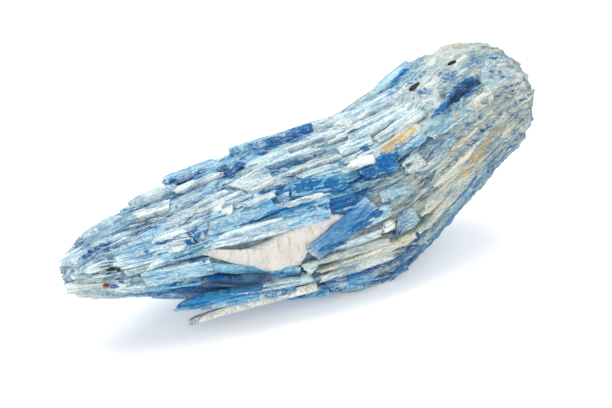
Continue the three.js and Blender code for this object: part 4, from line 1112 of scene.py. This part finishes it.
class KYANITE_OT_splinters(bpy.types.Operator):
    """Scatter thin splinters over the blades"""

    bl_idname = "kyanite.splinters"
    bl_label = "Splinters"

    def execute(self, context):
        rng = np.random.default_rng(41)
        count = context.scene.kyanite_sizes.splinters
        tip_x = rng.uniform(-52, 48, count)
        # thin and even along the blades, short, thick and every way round in the crumbled lobe
        crumbled = np.clip((tip_x - 16) / 10, 0, 1)
        root_x = np.minimum(tip_x + rng.uniform(1.2, 4.5, count) * (1 - 0.55 * crumbled), LAST_ROOT)
        tip_turn = rng.uniform(-180, 180, count)
        root_turn = tip_turn + rng.uniform(-4, 4, count) * (1 + 2.2 * crumbled)
        keep = ~(in_quartz(tip_x, tip_turn) | in_quartz(root_x, root_turn) | in_hollow(tip_x, tip_turn))
        kept = np.stack([tip_x, root_x, tip_turn, root_turn, crumbled])[:, keep]
        tip_x, root_x, tip_turn, root_turn, crumbled = kept
        count = len(tip_x)
        lift = rng.uniform(-0.5, 0.5, count) + valleys(tip_x, tip_turn)
        frames = lath_frames(tip_x, tip_turn, root_x, root_turn, lift, lift - 0.2, rng.uniform(-20, 20, count))
        face, streak = middle_colours(frames)
        face = paled(rng, face, 0.5, 0.78)
        width = rng.uniform(0.2, 0.5, count) * (1 + 1.8 * crumbled)
        thick = rng.uniform(0.3, 0.6, count) * (1 + crumbled)
        lath_piece(context, "splinters", frames, width, thick, face, streak, rng, 3, 4, steps=0)
        return {"FINISHED"}


class KYANITE_OT_ground_mass(bpy.types.Operator):
    """Form the fine-grained kyanite and mica that fills the gaps between the blades"""

    bl_idname = "kyanite.ground_mass"
    bl_label = "Ground mass"

    def execute(self, context):
        """A closed surface over x and turn: the outline sunk by the ground depth, drawn in to a point at both ends
        by a quarter circle, with ridges made of sine waves that are long in X and short across it."""
        sizes = context.scene.kyanite_sizes
        stations, ring = 260, 370
        x = LOOSE_END + (BLUNT_END - LOOSE_END) * np.linspace(0, 1, stations)
        rounding = 5.0
        near_end = np.minimum(x - LOOSE_END, BLUNT_END - x) / rounding
        shrink = np.sqrt(1 - np.clip(1 - near_end, 0, 1) ** 2)[:, None]
        turn = -np.arange(ring) / ring * 360
        x_grid, turn_grid = np.meshgrid(x, turn, indexing="ij")
        y, z, _, _ = section(x)
        centre = np.stack([x, y, z], -1)[:, None, :]
        outline = on_outline(x_grid, turn_grid, -sizes.ground_depth / MM)
        points = centre + (outline - centre) * shrink[..., None]
        ridges = ripple(points, (0.35, 2.2, 2.2), 3, 24) + 0.6 * ripple(points, (0.8, 4.5, 4.5), 5, 24)
        lumps = ripple(points, (1.3, 1.5, 1.5), 31, 30) * np.clip((x_grid - 18) / 14, 0.15, 1)
        grains = ripple(points, (2.8, 3.2, 3.2), 33, 30) * crumbled_at(x_grid, turn_grid)
        relief = sizes.ground_relief / MM * (ridges + 1.3 * lumps + 0.9 * grains)
        sunk = 0.9 * in_hollow(x_grid, turn_grid) + 1.6 * in_quartz(x_grid, turn_grid)
        relief = relief + (valleys(x_grid, turn_grid) + 0.8 * np.clip((x_grid - 20) / 8, 0, 1) - sunk) * shrink
        ahead = np.array([1.0, 0, 0]) * np.sign(x)[:, None, None] * (1 - shrink[..., None])
        points = points + unit(outward_at(x_grid, turn_grid) * shrink[..., None] + ahead) * relief[..., None]
        points[[0, -1]] = points[[0, -1]].mean(1, keepdims=True)
        flat = join_poles(points[None])
        quads, triangles = lath_faces(1, stations, ring)
        face, streak = zone_colours(flat)
        # painted shade: the low ground between the ridges is drawn darker, bluer and with more dark marks, as shade
        # falls there; the Face alpha is the painted shade in the gaps
        low = np.clip(0.55 - 0.45 * join_poles(ridges[None]), 0, 1)[:, None]
        marks = marks_at(flat)
        crumbled = crumbled_at(flat[:, 0], turn_of(flat))
        marks[:, 0] = np.maximum(marks[:, 0], 0.75 * low[:, 0] * (1 - 0.5 * crumbled))
        marks[:, 3] = np.maximum(marks[:, 3], 0.3 * low[:, 0])
        # the streaks run along the sides, and the two ends show them end on
        around = np.radians(turn_grid) * 15 * shrink + points[..., 1] * (1 - shrink)
        along = x_grid * shrink + 3 * points[..., 2] * (1 - shrink)
        grain = np.stack([along, around, 0 * x_grid, 0 * x_grid + 0.5], -1)[None]
        loose = np.maximum(crumbled, join_poles((1 - shrink + 0 * x_grid)[None]))
        piece = new_piece("ground_mass", flat, quads, triangles, {
            "Face": with_alpha(face * (0.95 - 0.3 * low), np.minimum(gap_shade_at(flat), 0.9)),
            "Streak": with_alpha(streak * 0.85, loose),
            "Marks": marks, "Grain": join_poles(grain),
        }, sharp=180.0)
        kyanite_finish(context, piece)
        return {"FINISHED"}


class KYANITE_OT_quartz(bpy.types.Operator):
    """Set the white quartz lens in its place"""

    bl_idname = "kyanite.quartz"
    bl_label = "Quartz lens"

    def execute(self, context):
        """A closed dome over x and turn: rings that shrink from the lens's edge to its middle, where the surface
        swells outwards as 1 minus the ring's size to the fourth power, and one more ring sunk into the mass."""
        sizes = context.scene.kyanite_sizes
        rings, ring = 60, 220
        corners = np.vstack([QUARTZ_EDGE, QUARTZ_EDGE[:1]])
        sides = np.diff(corners, axis=0) * (1, MM_PER_DEGREE)
        steps = np.concatenate([[0], np.cumsum(np.hypot(*sides.T))])
        t = np.arange(ring) / ring * steps[-1]
        edge = np.stack([np.interp(t, steps, corners[:, k]) for k in (0, 1)], -1)
        middle = QUARTZ_EDGE.mean(0)
        size = np.linspace(1, 0.02, rings)[:, None, None]
        flat = middle + (edge - middle) * size
        swell = 0.9 * (1 - size[..., 0] ** 4)
        x, turn = flat[..., 0], flat[..., 1]
        outline = on_outline(x, turn, sizes.quartz_lift / MM - 0.5)
        lump = 0.3 * ripple(outline, (0.5, 0.8, 0.8), 15) + 0.14 * ripple(outline, (2.0, 2.4, 2.4), 17, 24)
        points = outline + outward_at(x, turn) * (swell + lump * (size[..., 0] < 0.99))[..., None]
        sunk = on_outline(x[0], turn[0], -3.0)[None]
        grid = np.concatenate([sunk, points])[None]
        quads, triangles = lath_faces(1, rings + 1, ring)
        flat = join_poles(grid)
        piece = new_piece("quartz", flat, quads, triangles, {"Marks": marks_at(flat)}, sharp=180.0)
        colours = context.scene.kyanite_colours
        finish_piece(piece, quartz_material(colours), "quartz_lens")
        return {"FINISHED"}


class KYANITE_OT_inclusions(bpy.types.Operator):
    """Set the garnet grain and the dark mica flakes"""

    bl_idname = "kyanite.inclusions"
    bl_label = "Garnet and mica"

    def execute(self, context):
        """A ball whose radius is the least distance to a dozen tilted planes, which facets it, pressed flat for
        the mica. Each lies on the highest point near its place."""
        size = context.scene.kyanite_sizes.garnet_size / MM
        shade = shades(context.scene.kyanite_colours)
        stations, ring = 24, 32
        rng = np.random.default_rng(5)
        up = np.linspace(0.02, math.pi - 0.02, stations)[:, None]
        round_ = (np.arange(ring) / ring * 2 * math.pi)[None, :]
        rays = np.sin(up) * np.cos(round_), np.sin(up) * np.sin(round_), np.cos(up)
        rays = np.stack(np.broadcast_arrays(*rays), -1)
        built = built_points()
        flakes = np.array(MICA_FLAKES)
        garnet = np.array([(-48.5, -5, size, 0.7 * size)])
        for name, rows, thick, light, dark, roughness in (
            ("garnet", garnet, 0.66 * size, "garnet", "garnet_dark", 0.35),
            ("mica", flakes, 0.5, "mica_flake", "mica_dark", 0.5),
        ):
            x, turn, length, width = rows.T
            planes = unit(rng.normal(size=(len(rows), 14, 3)))
            facing = np.einsum("ijk,npk->nijp", rays, planes).max(-1)
            ball = rays * np.clip(1 / np.maximum(facing, 0.5), 0, 1.35)[..., None]
            lift = np.array([height_over(built, *place) for place in zip(x + length / 2, turn)]) + 0.1
            tip, along, outward, across, reach = lath_frames(x, turn, x + length, turn, lift, lift, 0 * x)
            centre = tip + along * (reach / 2)[:, None]
            half = np.stack([0.5 * length, 0.5 * width, 0 * x + 0.5 * thick], -1)[:, None, None]
            ball = ball * half
            axes = np.stack([along, across, outward], 1)
            points = centre[:, None, None] + np.einsum("nijk,nkl->nijl", ball, axes)
            quads, triangles = lath_faces(len(rows), stations, ring)
            grains = new_piece(name + "_grains", join_poles(points), quads, triangles, {}, sharp=20.0)
            material = grain_material(name, shade(light), shade(dark), roughness)
            finish_piece(grains, material, "kyanite_blades")
        return {"FINISHED"}


class KYANITE_OT_stage(bpy.types.Operator):
    """Set the floor, the lights and the camera"""

    bl_idname = "kyanite.stage"
    bl_label = "Stage"

    def execute(self, context):
        scene = context.scene
        x, y = np.meshgrid(np.linspace(-1.5, 1.5, 13), np.linspace(-1.5, 1.5, 13), indexing="ij")
        points = np.stack([x, y, 0 * x], -1).reshape(-1, 3)
        i = (np.arange(12)[:, None] * 13 + np.arange(12)[None, :]).ravel()
        mesh = bpy.data.meshes.new("floor")
        mesh.from_pydata(points.tolist(), [], np.stack([i, i + 13, i + 14, i + 1], -1).tolist())
        mesh.materials.append(floor_material(scene.kyanite_colours.card))
        floor = bpy.data.objects.new("floor", mesh)
        scene.collection.objects.link(floor)
        world = bpy.data.worlds.new("studio")
        world.use_nodes = True
        world.node_tree.nodes["Background"].inputs["Color"].default_value = (1, 1, 1, 1)
        world.node_tree.nodes["Background"].inputs["Strength"].default_value = 0.55
        scene.world = world
        for name, place, size, power in LIGHTS:
            light = bpy.data.objects.new(name, bpy.data.lights.new(name, "AREA"))
            light.data.size = size
            light.data.energy = power
            light.location = place
            light.rotation_euler = direction_euler(np.array(LIGHTS_AIM) - np.array(place))
            scene.collection.objects.link(light)
        camera = bpy.data.objects.new("camera", bpy.data.cameras.new("camera"))
        azimuth, elevation = math.radians(CAMERA_AZIMUTH), math.radians(CAMERA_ELEVATION)
        away = np.array([math.sin(azimuth) * math.cos(elevation), -math.cos(azimuth) * math.cos(elevation),
                         math.sin(elevation)])
        camera.location = (np.array(CAMERA_AIM) + TO_ORIGIN + away * CAMERA_DISTANCE) * MM
        camera.rotation_euler = direction_euler(-away)
        camera.data.lens, camera.data.sensor_width = 100, 36
        scene.collection.objects.link(camera)
        scene.camera = camera
        scene.view_settings.view_transform = "Standard"
        return {"FINISHED"}


def direction_euler(direction):
    """The rotation that points a light or camera along a direction, level with the floor."""
    return Vector(direction).to_track_quat("-Z", "Y").to_euler()


class KYANITE_PT_panel(bpy.types.Panel):
    """The cluster's pieces, in the order they are made"""

    bl_idname = "KYANITE_PT_panel"
    bl_label = "Kyanite cluster"
    bl_space_type = "VIEW_3D"
    bl_region_type = "UI"
    bl_category = "Kyanite"

    def draw(self, context):
        for group in (context.scene.kyanite_sizes, context.scene.kyanite_colours):
            for key in group.__annotations__:
                self.layout.prop(group, key)
        for operator in OPERATORS:
            self.layout.operator(operator.bl_idname)


OPERATORS = (KYANITE_OT_ground_mass, KYANITE_OT_main_blades, KYANITE_OT_back_blades, KYANITE_OT_end_blades,
             KYANITE_OT_fine_blades, KYANITE_OT_splinters, KYANITE_OT_quartz, KYANITE_OT_inclusions,
             KYANITE_OT_stage)
CLASSES = (KYANITE_PG_sizes, KYANITE_PG_colours, *OPERATORS, KYANITE_PT_panel)


def register():
    for cls in CLASSES:
        bpy.utils.register_class(cls)
    bpy.types.Scene.kyanite_sizes = bpy.props.PointerProperty(type=KYANITE_PG_sizes)
    bpy.types.Scene.kyanite_colours = bpy.props.PointerProperty(type=KYANITE_PG_colours)


def unregister():
    del bpy.types.Scene.kyanite_colours
    del bpy.types.Scene.kyanite_sizes
    for cls in reversed(CLASSES):
        bpy.utils.unregister_class(cls)


def main():
    register()
    for operator in OPERATORS:
        group, name = operator.bl_idname.split(".")
        getattr(getattr(bpy.ops, group), name)()


if __name__ == "__main__":
    main()
